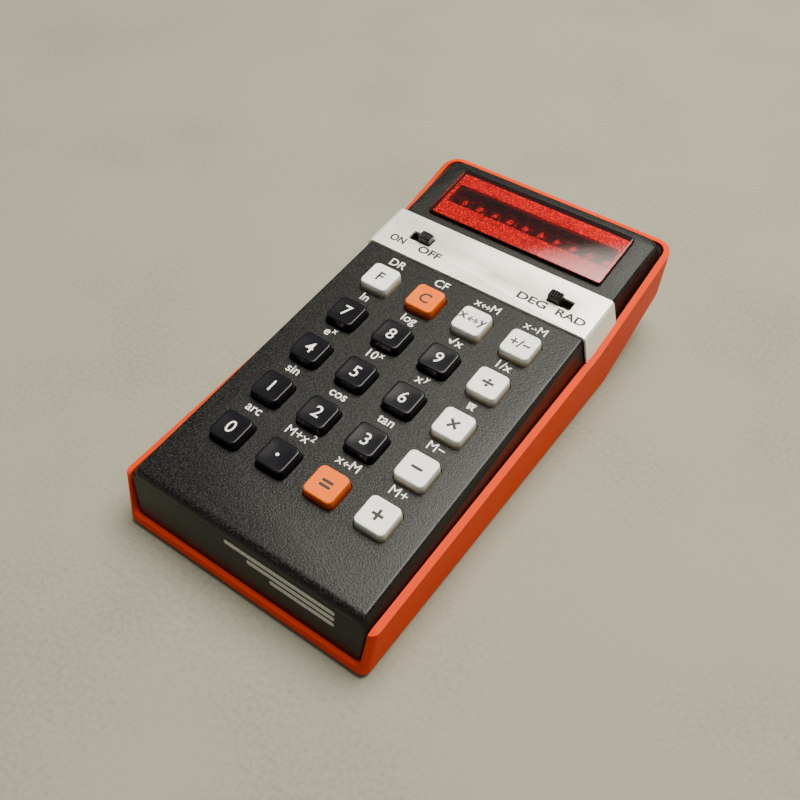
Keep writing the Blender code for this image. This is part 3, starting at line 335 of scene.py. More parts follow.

# %% [markdown]
# Keys are moulded in three colours. Fingers polish the top, and the skirt is painted darker towards
# its foot as shade, so the key finish reads the attribute "rise" that its surface carries: 0 at the
# panel and 1 on top.

# %% Key plastic
def key_abs(name, top, skirt, roughness=0.3, soft=0.0, gleam=0.35):
    """Key moulding: polished on top, dulled towards the foot of the skirt and darkened there with painted
    shade.
    """
    finish, tree, shader, place = new_finish(name, IOR=1.53, Subsurface_Weight=soft,
                                             Subsurface_Scale=0.0006, Specular_IOR_Level=gleam)
    rise = add_node(tree, "ShaderNodeAttribute", attribute_name="rise").outputs["Fac"]
    specks = add_node(tree, "ShaderNodeTexNoise", {"Scale": per_mm(1.1), "Detail": 5.0}, {"Vector": place})
    uneven = add_node(tree, "ShaderNodeMath", {1: 0.22}, {0: specks.outputs["Fac"]}, operation="MULTIPLY")
    level = add_node(tree, "ShaderNodeMath", {}, {0: rise, 1: uneven.outputs[0]}, operation="SUBTRACT")
    # the skirt colour is painted shade, darkest at the foot of the key
    add_node(tree, "ShaderNodeValToRGB", links={"Fac": level.outputs[0]},
             stops=((0.1, skirt), (0.72, top)), into=shader.inputs["Base Color"])
    add_node(tree, "ShaderNodeMapRange", {"To Min": roughness + 0.22, "To Max": roughness},
             {"Value": level.outputs[0]}, into=shader.inputs["Roughness"])
    skin = add_node(tree, "ShaderNodeTexNoise", {"Scale": per_mm(0.5), "Detail": 2.0}, {"Vector": place})
    add_node(tree, "ShaderNodeBump", {"Strength": 0.4, "Distance": 0.012 * MM},
             {"Height": skin.outputs["Fac"]}, into=shader.inputs["Normal"])
    return finish


# each key's second colour is painted shade on its skirt
KEY_FINISH = {
    "black_key": key_abs("polished_black_key_abs", "#0c0b11", "#050506", roughness=0.22, gleam=0.3),
    "white_key": key_abs("ivory_white_key_abs", "#fffff6", "#a5957a", roughness=0.36, soft=0.15),
    "orange_key": key_abs("orange_key_abs", "#f86c00", "#a83800", roughness=0.4, gleam=0.12),
}
print("key finishes:", sorted(KEY_FINISH))

# %% [markdown]
# ## Printing inks
# The legends are pad-printed: a thin matt film of ink with slightly uneven cover. White on black
# parts, near-black on light ones, and a dull silver for the mark on the front face.

# %% Inks
def pad_ink(name, colour, thin, roughness=0.55, metallic=0.0):
    """Pad-printed ink: fine mottling where the film is thinner."""
    finish, tree, shader, place = new_finish(name, Metallic=metallic, Roughness=roughness)
    mottle = add_node(tree, "ShaderNodeTexNoise", {"Scale": per_mm(0.35), "Detail": 3.0}, {"Vector": place})
    add_node(tree, "ShaderNodeValToRGB", links={"Fac": mottle.outputs["Fac"]},
             stops=((0.3, thin), (0.55, colour)), into=shader.inputs["Base Color"])
    return finish


INK_WHITE = pad_ink("white_pad_ink", "#fffef6", "#e2e1d8")
INK_DARK = pad_ink("black_pad_ink", "#100f0e", "#1e1c1a")
INK_SILVER = pad_ink("silver_pad_ink", "#c9c8c2", "#9d9c96", roughness=0.45, metallic=0.3)
print("inks:", [m.name for m in (INK_WHITE, INK_DARK, INK_SILVER)])

# %% [markdown]
# ## Trim band: satin-anodised aluminium
# The band is a pressed strip of aluminium, brushed across the case and anodised: a soft, nearly
# white sheen with hair-fine lines 0.1 mm apart, drawn here at 0.25 mm. The lines are a noise that
# is stretched a long way in X by a Mapping node. Slow stains tint the sheen and change the gloss.

# %% Brushed aluminium
def brushed_aluminium(name, colour, dark, roughness=0.34):
    """Brushed anodised metal: stretched noise for the lines, a slow noise for stains."""
    finish, tree, shader, place = new_finish(name, Metallic=0.4, Anisotropic=0.35)
    along = add_node(tree, "ShaderNodeMapping", {"Scale": (0.02, 1.0, 1.0)}, {"Vector": place})
    lines = add_node(tree, "ShaderNodeTexNoise", {"Scale": per_mm(0.25), "Detail": 3.0},
                     {"Vector": along.outputs["Vector"]})
    stains = add_node(tree, "ShaderNodeTexNoise", {"Scale": per_mm(11), "Detail": 4.0}, {"Vector": place})
    mixed = add_node(tree, "ShaderNodeMath", {2: 0.25},
                     {0: lines.outputs["Fac"], 1: stains.outputs["Fac"]}, operation="MULTIPLY_ADD")
    add_node(tree, "ShaderNodeValToRGB", links={"Fac": mixed.outputs[0]},
             stops=((0.35, dark), (0.6, colour)), into=shader.inputs["Base Color"])
    add_node(tree, "ShaderNodeMapRange", {"To Min": roughness - 0.08, "To Max": roughness + 0.12},
             {"Value": stains.outputs["Fac"]}, into=shader.inputs["Roughness"])
    add_node(tree, "ShaderNodeBump", {"Strength": 0.25, "Distance": 0.01 * MM},
             {"Height": lines.outputs["Fac"]}, into=shader.inputs["Normal"])
    return finish


BAND_METAL = brushed_aluminium("satin_anodised_aluminium", "#fffdf2", "#e6e3d7")
print("band finish:", BAND_METAL.name)

# %% [markdown]
# ## The two half-shells and the band
# The CAD meshes of the shells are right in shape but come as loose triangles, which shade flat. A
# copy is merged, its flat areas are joined into whole faces, and the angle rule lets the rolled
# front and the rounded rims shade as one surface. The battery cover is the one moulding whose CAD
# edges are sharp, so its copy also gets a narrow bevel that catches the light as a moulded radius.

# %% Smoothed copies of CAD nodes
def smoothed_copy(node, finish, bevel=0.0, angle=24, body="case"):
    """Merged copy of a CAD node, smooth below an angle, with an optional small edge radius."""
    mesh = nodes[node].data.copy()
    shape = bmesh.new()
    shape.from_mesh(mesh)
    bmesh.ops.remove_doubles(shape, verts=shape.verts, dist=2e-6)
    bmesh.ops.dissolve_limit(shape, angle_limit=math.radians(0.6), verts=shape.verts, edges=shape.edges)
    shape.to_mesh(mesh)
    shape.free()
    mesh.shade_smooth()
    mesh.set_sharp_from_angle(angle=math.radians(angle))
    thing = piece(node + "_finished", mesh, finish, body, [node])
    if bevel:
        edge = thing.modifiers.new("edge_radius", "BEVEL")
        edge.width = bevel
        edge.segments = 2
        edge.limit_method = "ANGLE"
        edge.angle_limit = math.radians(angle)
        edge.use_clamp_overlap = True
        edge.harden_normals = True
    return thing


smoothed_copy("upper_case", PANEL_BLACK)
smoothed_copy("lower_case", TRAY_ORANGE)
smoothed_copy("trim_band", BAND_METAL)
print("shells smoothed")

# %% [markdown]
# ## Keys
# A key is a hollow-looking but solid cap: a short stem over its dome, a flange that keeps it in the
# panel, a skirt with a little draft, a rolled edge and a top that is dished for the fingertip. It
# could be a bevelled cube, but a stack of rounded rings gives the roll and the dish exactly. The
# dish is depth x (1 - (x/h)^2)(1 - (y/h)^2), which is zero all along the edge.

# %% Key caps
KEY_TOP_HALF = 3.86 * MM
KEY_DISH = 0.16 * MM
KEY_CORNER = 1.45 * MM
ROLL_OUT = 0.42 * MM
ROLL_DOWN = 0.45 * MM
# height over which the painted shade on a key's skirt fades into its top colour
SKIRT_SHADE_RISE = 2.5 * MM
TOP_ROWS = 8
SKIRT = [(0.0, -6.6), (1.4, -6.6), (1.5, -6.5), (1.5, -5.9), (5.2, -5.9), (5.3, -5.8), (5.3, -5.1),
         (5.2, -5.0), (4.45, -5.0), (4.45, -2.7), (4.41, -2.1), (4.34, -1.2), (4.28, -0.62)]


def dish(x, y):
    """Depth of the fingertip dish: d (1 - (x/h)^2)(1 - (y/h)^2)."""
    return KEY_DISH * (1 - (x / KEY_TOP_HALF) ** 2) * (1 - (y / KEY_TOP_HALF) ** 2)


def key_cap(centre, top):
    """Stack of rounded rings: stem, flange and skirt (half-width and height from the top, in mm), a
    quarter roll, then the dished top."""
    roll = np.linspace(0, math.pi / 2, 7)
    rolled = np.stack([KEY_TOP_HALF + ROLL_OUT * np.cos(roll), ROLL_DOWN * (np.sin(roll) - 1)], axis=-1)
    inner = np.stack([KEY_TOP_HALF * np.linspace(0.9, 0, TOP_ROWS), np.zeros(TOP_ROWS)], axis=-1)
    profile = np.concatenate([np.array(SKIRT) * MM, rolled, inner])
    rings = [rounded_ring(half, half, min(KEY_CORNER, max(half * 0.42, 1e-9))) for half in profile[:, 0]]
    grid = stack(rings, profile[:, 1])
    on_top = np.arange(len(profile)) >= len(profile) - TOP_ROWS - 1
    sunk = dish(grid[..., 0], grid[..., 1])
    grid[on_top, :, 2] -= sunk[on_top]
    grid += np.array([centre[0], centre[1], top])
    rise = np.clip((profile[:, 1] + KEY_RISE) / SKIRT_SHADE_RISE, 0, 1)
    return surface(to_case(grid, KEYPAD_LEAN), rise)


BLACK_KEYS = ["key_" + digit for digit in "0123456789"] + ["key_point"]
ORANGE_KEYS = ["key_clear", "key_equals"]
key_place = {}
for name in KEYS:
    low, high = leaning_box(name, KEYPAD_LEAN)
    middle = (low + high) / 2
    key_place[name] = (middle[0], middle[1], high[2])
    colour = "black_key" if name in BLACK_KEYS else "orange_key" if name in ORANGE_KEYS else "white_key"
    piece(name + "_cap", key_cap(middle[:2], high[2]), KEY_FINISH[colour], name + "_body", [name])
print(len(key_place), "key caps")

# %% [markdown]
# ## Legends
# Lettering is made from the built-in font as a thin solid, then moved point by point on to its
# face: a number on a key follows the dish, and a legend on the panel lies on the leaning plane.
# A small caret in the spelling marks a raised exponent, which is set smaller and higher.

# %% Lettering
INK_FILM = 0.02 * MM
INK_SINK = 0.004 * MM
FINE_STROKE = 0.003
BOLD_STROKE = 0.02


def glyphs(text, size, weight):
    """Built-in font as a thin solid mesh, its strokes thickened a little by the curve's offset."""
    curve = bpy.data.curves.new("letters", "FONT")
    curve.body = text
    curve.size = size
    curve.extrude = INK_FILM / 2
    curve.offset = weight * size
    curve.resolution_u = 5
    holder = bpy.data.objects.new("letters", curve)
    bpy.context.scene.collection.objects.link(holder)
    bpy.context.view_layer.update()
    mesh = bpy.data.meshes.new_from_object(holder.evaluated_get(bpy.context.evaluated_depsgraph_get()))
    bpy.data.objects.remove(holder)
    return mesh


def points_of(mesh):
    """The mesh's points as an array (n, 3)."""
    flat = np.empty(len(mesh.vertices) * 3)
    mesh.vertices.foreach_get("co", flat)
    return flat.reshape(-1, 3)


def set_points(mesh, points):
    """Put an array (n, 3) back as the mesh's points."""
    mesh.vertices.foreach_set("co", np.asarray(points, float).ravel())
    mesh.update()
    return mesh


def runs_of(text):
    """Split a spelling into (letters, kind): plain, raised after a caret, or an arrow."""
    runs = []
    for order, part in enumerate(text.split("^")):
        for arrow in "↔→←":
            part = part.replace(arrow, "|" + arrow + "|")
        for letters in filter(None, part.split("|")):
            runs.append((letters, "arrow" if letters in "↔→←" else "raised" if order else "plain"))
    return runs


def spelling(text, size, width=None, gap=0.07, weight=0.004):
    """Letters set in a row about their middle; exponents are small and high, arrows short."""
    parts = []
    cursor = 0.0
    for letters, kind in runs_of(text):
        mesh = glyphs(letters, size * {"plain": 1.0, "raised": 0.72, "arrow": 0.62}[kind],
                      weight + 0.012 * (kind == "arrow"))
        points = points_of(mesh)
        if kind == "arrow":
            points[:, 0] *= 0.95
            points[:, 1] += 0.02 * size
        points[:, 1] += 0.36 * size * (kind == "raised")
        points[:, 0] += cursor - points[:, 0].min()
        cursor = points[:, 0].max() + gap * size
        parts.append(set_points(mesh, points))
    whole = joined(parts)
    points = points_of(whole)
    middle = (points.min(axis=0) + points.max(axis=0)) / 2
    points[:, 0] -= middle[0]
    if width:
        points[:, 0] *= width / np.ptp(points[:, 0])
    return set_points(whole, points)


def centred(mesh):
    """Letters moved so that the middle of their box is at the origin, up as well as across."""
    points = points_of(mesh)
    points[:, :2] -= (points[:, :2].min(axis=0) + points[:, :2].max(axis=0)) / 2
    return set_points(mesh, points)


KEY_FACES = {name: (name[4:], 5.1) for name in BLACK_KEYS if name != "key_point"}
KEY_FACES.update({
    "key_point": ("·", 7.5), "key_function": ("F", 4.6), "key_clear": ("C", 4.8),
    "key_exchange": ("x↔y", 4.2), "key_sign": ("+/−", 4.3), "key_divide": ("÷", 6.4),
    "key_multiply": ("×", 6.2), "key_minus": ("−", 6.2), "key_plus": ("+", 6.2),
    "key_equals": ("=", 6.2),
})
for name, (text, size) in KEY_FACES.items():
    x, y, top = key_place[name]
    stroke = FINE_STROKE if name in BLACK_KEYS else BOLD_STROKE
    mesh = centred(spelling(text, size * MM, weight=stroke))
    points = points_of(mesh)
    points[:, 2] += INK_FILM / 2 - dish(points[:, 0], points[:, 1]) - INK_SINK
    points += np.array([x, y, top])
    ink = INK_WHITE if name in BLACK_KEYS else INK_DARK
    piece(name + "_legend", tidy(set_points(mesh, to_case(points, KEYPAD_LEAN))), ink, name + "_body")
print(len(KEY_FACES), "key legends")

# %% [markdown]
# The second functions are printed on the panel, each a little behind its key's middle, and the switch
# positions in dark ink on the band, in front of the two slots.

# %% Panel and band legends
SECOND_FUNCTIONS = {
    "key_function": "DR", "key_clear": "CF", "key_exchange": "x↔M", "key_sign": "x→M",
    "key_7": "ln", "key_8": "log", "key_9": "√x", "key_divide": "1/x",
    "key_4": "e^x", "key_5": "10^x", "key_6": "x^y", "key_multiply": "π",
    "key_1": "sin", "key_2": "cos", "key_3": "tan", "key_minus": "M−",
    "key_0": "arc", "key_point": "M+x^2", "key_equals": "x←M", "key_plus": "M+",
}
LEGEND_SIZE = 3.85 * MM
LEGEND_BACK = 7.4 * MM
LEGEND_LEFT = 0.4 * MM
MARK_SIZE = 3.6 * MM
MARK_STROKE = 0.03
MARK_FRONT = 4.9 * MM
legends = []
for name, text in SECOND_FUNCTIONS.items():
    x, y, top = key_place[name]
    mesh = spelling(text, LEGEND_SIZE, weight=0.0 if "M" in text else 0.006)
    points = points_of(mesh) + np.array([x - LEGEND_LEFT, y + LEGEND_BACK, PANEL_LEVEL + INK_FILM / 2])
    legends.append(set_points(mesh, to_case(points, KEYPAD_LEAN)))
piece("panel_legends", tidy(joined(legends)), INK_WHITE)

band_top = leaning_box("trim_band", KEYPAD_LEAN)[1][2]
knob_middle = {}
for name in ("power_switch_knob", "angle_switch_knob"):
    low, high = leaning_box(name, KEYPAD_LEAN)
    knob_middle[name] = (low + high) / 2
slot_line = knob_middle["power_switch_knob"][1]
marks = []
for text, x, width in (("ON", -28.2, 5.0), ("OFF", -17.2, 7.5), ("DEG", 16.6, 9.0), ("RAD", 28.5, 8.7)):
    mesh = spelling(text, MARK_SIZE, width * MM, weight=MARK_STROKE)
    spot = np.array([x * MM, slot_line - MARK_FRONT, band_top + INK_FILM / 2 - INK_SINK])
    points = points_of(mesh) + spot
    marks.append(set_points(mesh, to_case(points, KEYPAD_LEAN)))
piece("band_legends", tidy(joined(marks)), INK_DARK)
print(len(legends), "panel legends and", len(marks), "band legends")

# %% [markdown]
# The front face carries a plain printed mark: three silver bars with round ends, of falling length.
# It is generic on purpose. The bars are stacks of rounded rings that lie on the leaning front face.

# %% Front mark
FRONT_FACE_Y = -73.1 * MM
FRONT_LEAN = 0.13
BAR_HALF = 0.65 * MM
BARS_RIGHT = 27.5
bars = []
for height, length in ((14.9, 33.0), (12.9, 26.0), (10.9, 19.0)):
    ring = rounded_ring(length / 2 * MM, BAR_HALF, BAR_HALF, 7)
    grid = stack([ring, ring], [0, INK_FILM])
    across = grid[..., 0] + (BARS_RIGHT - length / 2) * MM
    up = grid[..., 1] + height * MM
    out = FRONT_FACE_Y + FRONT_LEAN * up - grid[..., 2] + INK_SINK
    bars.append(surface(np.stack([across, out, up], axis=-1)))
piece("front_mark", joined(bars), INK_SILVER)
print(len(bars), "bars on the front face")

# %% [markdown]
# ## Slide switches
# The knob is a small black block with five ribs across its top for the fingernail. Its section is a
# closed line, with a cosine for the ribs, carried along the slope and drawn in a little at both ends.

# %% Switch knobs
def ribbed_knob(low, high, ribs=5, rib_height=0.5 * MM):
    """Section with top z = high - r + r ((1 + cos 2 pi k u) / 2)^0.7, less a shoulder at each end,
    carried from front to rear."""
    half = (high[0] - low[0]) / 2
    u = np.linspace(0, 1, 61)
    across = half - 2 * half * u
    wave = rib_height * (0.5 - 0.5 * np.cos(2 * math.pi * ribs * u + math.pi)) ** 0.7
    top = high[2] - rib_height + wave - (np.abs(2 * u - 1) ** 8) * 0.25 * MM
    section = np.concatenate([np.stack([across, top], axis=-1), [[-half, low[2]], [half, low[2]]]])
    middle_x = (low[0] + high[0]) / 2
    steps = np.array([0, 0.04, 0.12, 0.5, 0.88, 0.96, 1.0])
    shrink = np.array([0.90, 0.96, 1.0, 1.0, 1.0, 0.96, 0.90])
    along = low[1] + (high[1] - low[1]) * steps
    heart = (low[2] + high[2]) / 2
    grid = np.empty((len(steps), len(section), 3))
    grid[..., 0] = middle_x + section[None, :, 0] * shrink[:, None]
    grid[..., 1] = along[:, None]
    grid[..., 2] = heart + (section[None, :, 1] - heart) * shrink[:, None]
    return surface(to_case(grid, KEYPAD_LEAN))


for name in knob_middle:
    low, high = leaning_box(name, KEYPAD_LEAN)
    piece(name + "_ribbed", ribbed_knob(low, high), KNOB_BLACK, name + "_body", [name])
for name in ("power_switch_body", "angle_switch_body"):
    smoothed_copy(name, SWITCH_GREY)
print(len(knob_middle), "slide switches")

# %% [markdown]
# ## Display: red acrylic window
# The window is a slab of clear red acrylic with polished faces, and behind it lie a pebbled red mask
# and a bar of clear bubble lenses over ten tiny digits. The slab is a stack of rounded rings with an
# eased top edge. Acrylic has an IOR of 1.49; its red filters the light twice, on the way in and out.

# %% Window and mask finishes
def tinted_acrylic(name, colour, glow, roughness=0.004):
    """Polished see-through plastic: crisp behind, with a soft film of handling haze as its coat."""
    finish, tree, shader, place = new_finish(name, IOR=1.49, Transmission_Weight=1.0,
                                             Specular_IOR_Level=0.1, Coat_Weight=glow,
                                             Coat_IOR=1.49, Coat_Roughness=0.13)
    shader.inputs["Base Color"].default_value = linear(colour)
    scuffs = add_node(tree, "ShaderNodeTexNoise", {"Scale": per_mm(6), "Detail": 6.0}, {"Vector": place})
    add_node(tree, "ShaderNodeMapRange", {"To Min": roughness, "To Max": roughness + 0.02},
             {"Value": scuffs.outputs["Fac"]}, into=shader.inputs["Roughness"])
    return finish


def pebbled_mask(name, deep, light):
    """Red plastic sheet with a pebbled face: cells of 0.55 mm, a painted highlight on the crowns and
    painted shade in the valleys.
    """
    finish, tree, shader, place = new_finish(name, Roughness=0.3, IOR=1.5)
    cells = add_node(tree, "ShaderNodeTexVoronoi", {"Scale": per_mm(0.55)}, {"Vector": place},
                     feature="SMOOTH_F1")
    fine = add_node(tree, "ShaderNodeTexNoise", {"Scale": per_mm(0.5), "Detail": 2.0}, {"Vector": place})
    both = add_node(tree, "ShaderNodeMath", {}, {0: fine.outputs["Fac"], 1: cells.outputs["Distance"]},
                    operation="SUBTRACT")
    # painted highlight on the crowns, painted shade in the valleys
    add_node(tree, "ShaderNodeValToRGB", links={"Fac": both.outputs[0]},
             stops=((0.0, deep), (0.3, light)), into=shader.inputs["Base Color"])
    add_node(tree, "ShaderNodeBump", {"Strength": 0.8, "Distance": 0.12 * MM},
             {"Height": both.outputs[0]}, into=shader.inputs["Normal"])
    return finish


RED_WINDOW = tinted_acrylic("clear_red_acrylic", "#ff3a26", 0.5)
RED_MASK = pebbled_mask("pebbled_red_sheet", "#a81c08", "#ff4420")
CLEAR_LENS = tinted_acrylic("clear_lens_epoxy", "#f4e4dc", 0.0)

# %% Window and mask
WINDOW_CORNER = 0.9 * MM
EASE = 0.3 * MM
FOOT_EASE = 0.12 * MM
low, high = leaning_box("display_window", DISPLAY_LEAN)
half_x, half_y = (high[0] - low[0]) / 2, (high[1] - low[1]) / 2
window_middle = (low + high) / 2
turn = np.linspace(0, math.pi / 2, 6)
inset = np.concatenate([[FOOT_EASE, 0.0], EASE * (1 - np.cos(turn))])
height = np.concatenate([[low[2], low[2] + FOOT_EASE], high[2] - EASE * (1 - np.sin(turn))])
rings = [rounded_ring(half_x - i, half_y - i, WINDOW_CORNER - i) for i in inset]
grid = stack(rings, height, (window_middle[0], window_middle[1], 0))
piece("window_slab", surface(to_case(grid, DISPLAY_LEAN)), RED_WINDOW,
      stands_for=["display_window"])
smoothed_copy("display_mask", RED_MASK)
print("window slab in mm:", round(2 * half_x / MM, 1), "x", round(2 * half_y / MM, 1))

# %% [markdown]
# The digits are tiny, so a bar of clear epoxy is moulded over them with a bubble above each, which
# magnifies it. Under each bubble lie the seven light-emitting bars of a figure eight, all unlit.

# %% Lenses and digits
DIGITS = 10
LENS_RISE = 1.15 * MM
LENS_BACK = 0.6 * MM
BOARD_GAP = 0.3 * MM
BAR_TALL, BAR_WIDE, BAR_THIN = 0.36, 0.42, 0.1
BAR_OUT, BAR_UP = 0.5, 0.95


def lens_bar(low, high, count=DIGITS):
    """Bar whose top swells into domes: z = base + rise sqrt(max(0, 1 - (x/a)^2 - (y/b)^2))."""
    x = np.linspace(low[0], high[0], count * 18 + 1)
    half = (high[1] - low[1]) / 2
    pitch = (high[0] - low[0]) / count
    v = np.linspace(1, -1, 21)
    nearest = low[0] + pitch * (np.clip(np.floor((x - low[0]) / pitch), 0, count - 1) + 0.5)
    swell = 1 - ((x - nearest) / (pitch * 0.49))[:, None] ** 2 - (v / 0.86)[None, :] ** 2
    top = high[2] - LENS_RISE + LENS_RISE * np.sqrt(np.clip(swell, 0, None))
    columns = len(v) + 2
    grid = np.empty((len(x), columns, 3))
    grid[..., 0] = x[:, None]
    grid[..., 1] = (low[1] + high[1]) / 2 + half * np.concatenate([v, [-1, 1]])[None, :]
    grid[:, :len(v), 2] = top
    grid[:, len(v):, 2] = low[2]
    return surface(to_case(grid, DISPLAY_LEAN))


low, high = leaning_box("lens_bar", DISPLAY_LEAN)
low[1] += LENS_BACK
high[1] += LENS_BACK
piece("bubble_lenses", lens_bar(low, high), CLEAR_LENS, stands_for=["lens_bar"])

board_top = low[2] - BOARD_GAP
pitch = (high[0] - low[0]) / DIGITS
row_y = (low[1] + high[1]) / 2
dies = []
for digit in range(DIGITS):
    x = low[0] + pitch * (digit + 0.5)
    lying = [(0, BAR_UP * k, BAR_WIDE, BAR_THIN) for k in (1, 0, -1)]
    standing = [(BAR_OUT * j, 0.48 * k, BAR_THIN, BAR_TALL) for k in (1, -1) for j in (1, -1)]
    for dx, dy, sx, sy in lying + standing:
        ring = rounded_ring(sx * MM, sy * MM, 0.05 * MM, 3)
        spot = (x + dx * MM, row_y + dy * MM, board_top)
        dies.append(surface(to_case(stack([ring, ring], [0.02 * MM, 0.2 * MM], spot), DISPLAY_LEAN)))
# the unlit bars' own red, set bright so that each bubble also shows it as a painted highlight
DIE_RED = pad_ink("unlit_red_emitter", "#c9442e", "#8d2418", roughness=0.3)
piece("digit_segments", joined(dies), DIE_RED)
print(len(dies), "light bars in", DIGITS, "digits")

# %% [markdown]
# ## Underside: feet and screws
# The rubber feet are low pads with a rolled edge, and the screws sit in their wells with a cross
# recess. The recess is worked into the height of a polar grid: the face of the head sinks in where
# a point lies within a quarter of a millimetre of either axis, and not near the rim.

# %% Feet and screws
RUBBER = satin_abs("black_moulded_rubber", "#1d1d1d", "#121212", roughness=0.68, peel=0.3,
                   peel_height=0.03, streak=3)


def plated_steel(name, colour, dark, roughness=0.32, grain=0.2):
    """Zinc or nickel plate: bright metal with a fine grain and a cloudy passivation."""
    finish, tree, shader, place = new_finish(name, Metallic=1.0)
    cloud = add_node(tree, "ShaderNodeTexNoise", {"Scale": per_mm(2.2), "Detail": 4.0}, {"Vector": place})
    add_node(tree, "ShaderNodeValToRGB", links={"Fac": cloud.outputs["Fac"]},
             stops=((0.3, dark), (0.65, colour)), into=shader.inputs["Base Color"])
    add_node(tree, "ShaderNodeMapRange", {"To Min": roughness - 0.08, "To Max": roughness + 0.14},
             {"Value": cloud.outputs["Fac"]}, into=shader.inputs["Roughness"])
    fine = add_node(tree, "ShaderNodeTexNoise", {"Scale": per_mm(grain), "Detail": 2.0}, {"Vector": place})
    add_node(tree, "ShaderNodeBump", {"Strength": 0.3, "Distance": 0.01 * MM},
             {"Height": fine.outputs["Fac"]}, into=shader.inputs["Normal"])
    return finish


ZINC = plated_steel("zinc_plated_steel", "#cfd0cc", "#9c9d99")
NICKEL = plated_steel("nickel_plated_spring_steel", "#d8d2c4", "#a9a393", roughness=0.26)


FOOT_ROLL = 0.35 * MM


def foot_dome(low, high):
    """Turned profile: a straight edge with a quarter roll down to a flat sole."""
    radius = (high[0] - low[0]) / 2
    roll = np.linspace(0, math.pi / 2, 6)
    edge = np.stack([radius - FOOT_ROLL * (1 - np.cos(roll)),
                     low[2] + FOOT_ROLL * (1 - np.sin(roll))], axis=-1)
    profile = [(0, high[2]), (radius, high[2]), (radius, low[2] + FOOT_ROLL), *edge,
               (radius * 0.5, low[2]), (0, low[2])]
    middle = (low + high) / 2
    return surface(turned_profile(profile, (middle[0], middle[1], 0)))


HEAD = 1.0 * MM
HEAD_ROLL = 0.35 * MM
FACE_ROWS = 16
RECESS_HALF = 0.27 * MM
RECESS_REACH = 1.25 * MM
RECESS_DEPTH = 0.6 * MM


def cross_screw(low, high):
    """Shank and pan head, turned; the face of the head carries a cross recess as a polar grid."""
    radius, head = (high[0] - low[0]) / 2, low[2]
    thread = np.linspace(0, 1, 41)
    shank = 0.94 * MM + 0.06 * MM * np.cos(2 * math.pi * 9 * thread)
    lift = high[2] - (high[2] - head - HEAD) * thread
    rows = [(0, high[2]), *zip(shank, lift), (radius, head + HEAD), (radius, head + HEAD_ROLL),
            (radius - 0.1 * MM, head + 0.12 * MM), (radius - HEAD_ROLL, head)]
    rows += [(r, head) for r in np.linspace(radius - 0.4 * MM, 0, FACE_ROWS)]
    middle = (low + high) / 2
    grid = turned_profile(rows, (middle[0], middle[1], 0), 64)
    dx, dy = grid[..., 0] - middle[0], grid[..., 1] - middle[1]
    far = np.hypot(dx, dy)
    near_axis = np.minimum(np.abs(dx), np.abs(dy))
    cut = np.clip((RECESS_HALF - near_axis) / (0.06 * MM), 0, 1)
    cut *= np.clip((RECESS_REACH - far) / (0.15 * MM), 0, 1)
    face_row = np.arange(len(rows)) >= len(rows) - FACE_ROWS
    grid[..., 2] += np.where(face_row[:, None], cut * RECESS_DEPTH, 0)
    return surface(grid)


for name in sorted(nodes):
    low, high = leaning_box(name)
    if name.startswith("foot_"):
        piece(name + "_dome", foot_dome(low, high), RUBBER, stands_for=[name])
    elif name.startswith("case_screw_"):
        piece(name + "_cross", cross_screw(low, high), ZINC, stands_for=[name])
smoothed_copy("battery_cover", TRAY_ORANGE, bevel=0.15 * MM, body="battery_cover_body")
print("underside finished")

# %% [markdown]
# ## Inside: boards, chips and cells
# The boards are glass-fibre laminate under green lacquer, with copper tracks that show through as a
# paler green. Chips are matt black epoxy with tinned legs. The cells wear a printed film sleeve, the
# flat cables have a rib for every core, and the coil is wound with enamelled copper wire.

# %% Finishes for the inner parts
def lacquered_board(name):
    """Green solder lacquer over copper: tracks are the walls of a square-metric cell pattern."""
    finish, tree, shader, place = new_finish(name, Roughness=0.35, Coat_Weight=0.3)
    tracks = add_node(tree, "ShaderNodeTexVoronoi", {"Scale": per_mm(3.4)}, {"Vector": place},
                      feature="F1", distance="CHEBYCHEV")
    edge = add_node(tree, "ShaderNodeTexVoronoi", {"Scale": per_mm(3.4)}, {"Vector": place},
                    feature="F2", distance="CHEBYCHEV")
    gap = add_node(tree, "ShaderNodeMath", {}, {0: edge.outputs["Distance"], 1: tracks.outputs["Distance"]},
                   operation="SUBTRACT")
    add_node(tree, "ShaderNodeValToRGB", links={"Fac": gap.outputs[0]},
             stops=((0.08, "#3f8a4e"), (0.13, "#14512c")), into=shader.inputs["Base Color"])
    add_node(tree, "ShaderNodeBump", {"Strength": 0.4, "Distance": 0.05 * MM},
             {"Height": gap.outputs[0]}, into=shader.inputs["Normal"])
    return finish


def banded(name, bands, axis, half_pitch, metallic=0.0, roughness=0.4, height=0.0):
    """Stripes across one axis: the tone runs up over one half-pitch in mm and back over the next."""
    finish, tree, shader, place = new_finish(name, Metallic=metallic, Roughness=roughness)
    split = add_node(tree, "ShaderNodeSeparateXYZ", links={"Vector": place})
    turns = add_node(tree, "ShaderNodeMath", {1: per_mm(half_pitch)}, {0: split.outputs[axis]},
                     operation="MULTIPLY")
    wave = add_node(tree, "ShaderNodeMath", {1: 1.0}, {0: turns.outputs[0]}, operation="PINGPONG")
    add_node(tree, "ShaderNodeValToRGB", links={"Fac": wave.outputs[0]}, stops=bands,
             into=shader.inputs["Base Color"])
    # with a height, the darker end of the colour lies in the bump's grooves as painted shade and the
    # lighter end on its crowns as painted highlight
    if height:
        add_node(tree, "ShaderNodeBump", {"Strength": 1.0, "Distance": height * MM},
                 {"Height": wave.outputs[0]}, into=shader.inputs["Normal"])
    return finish


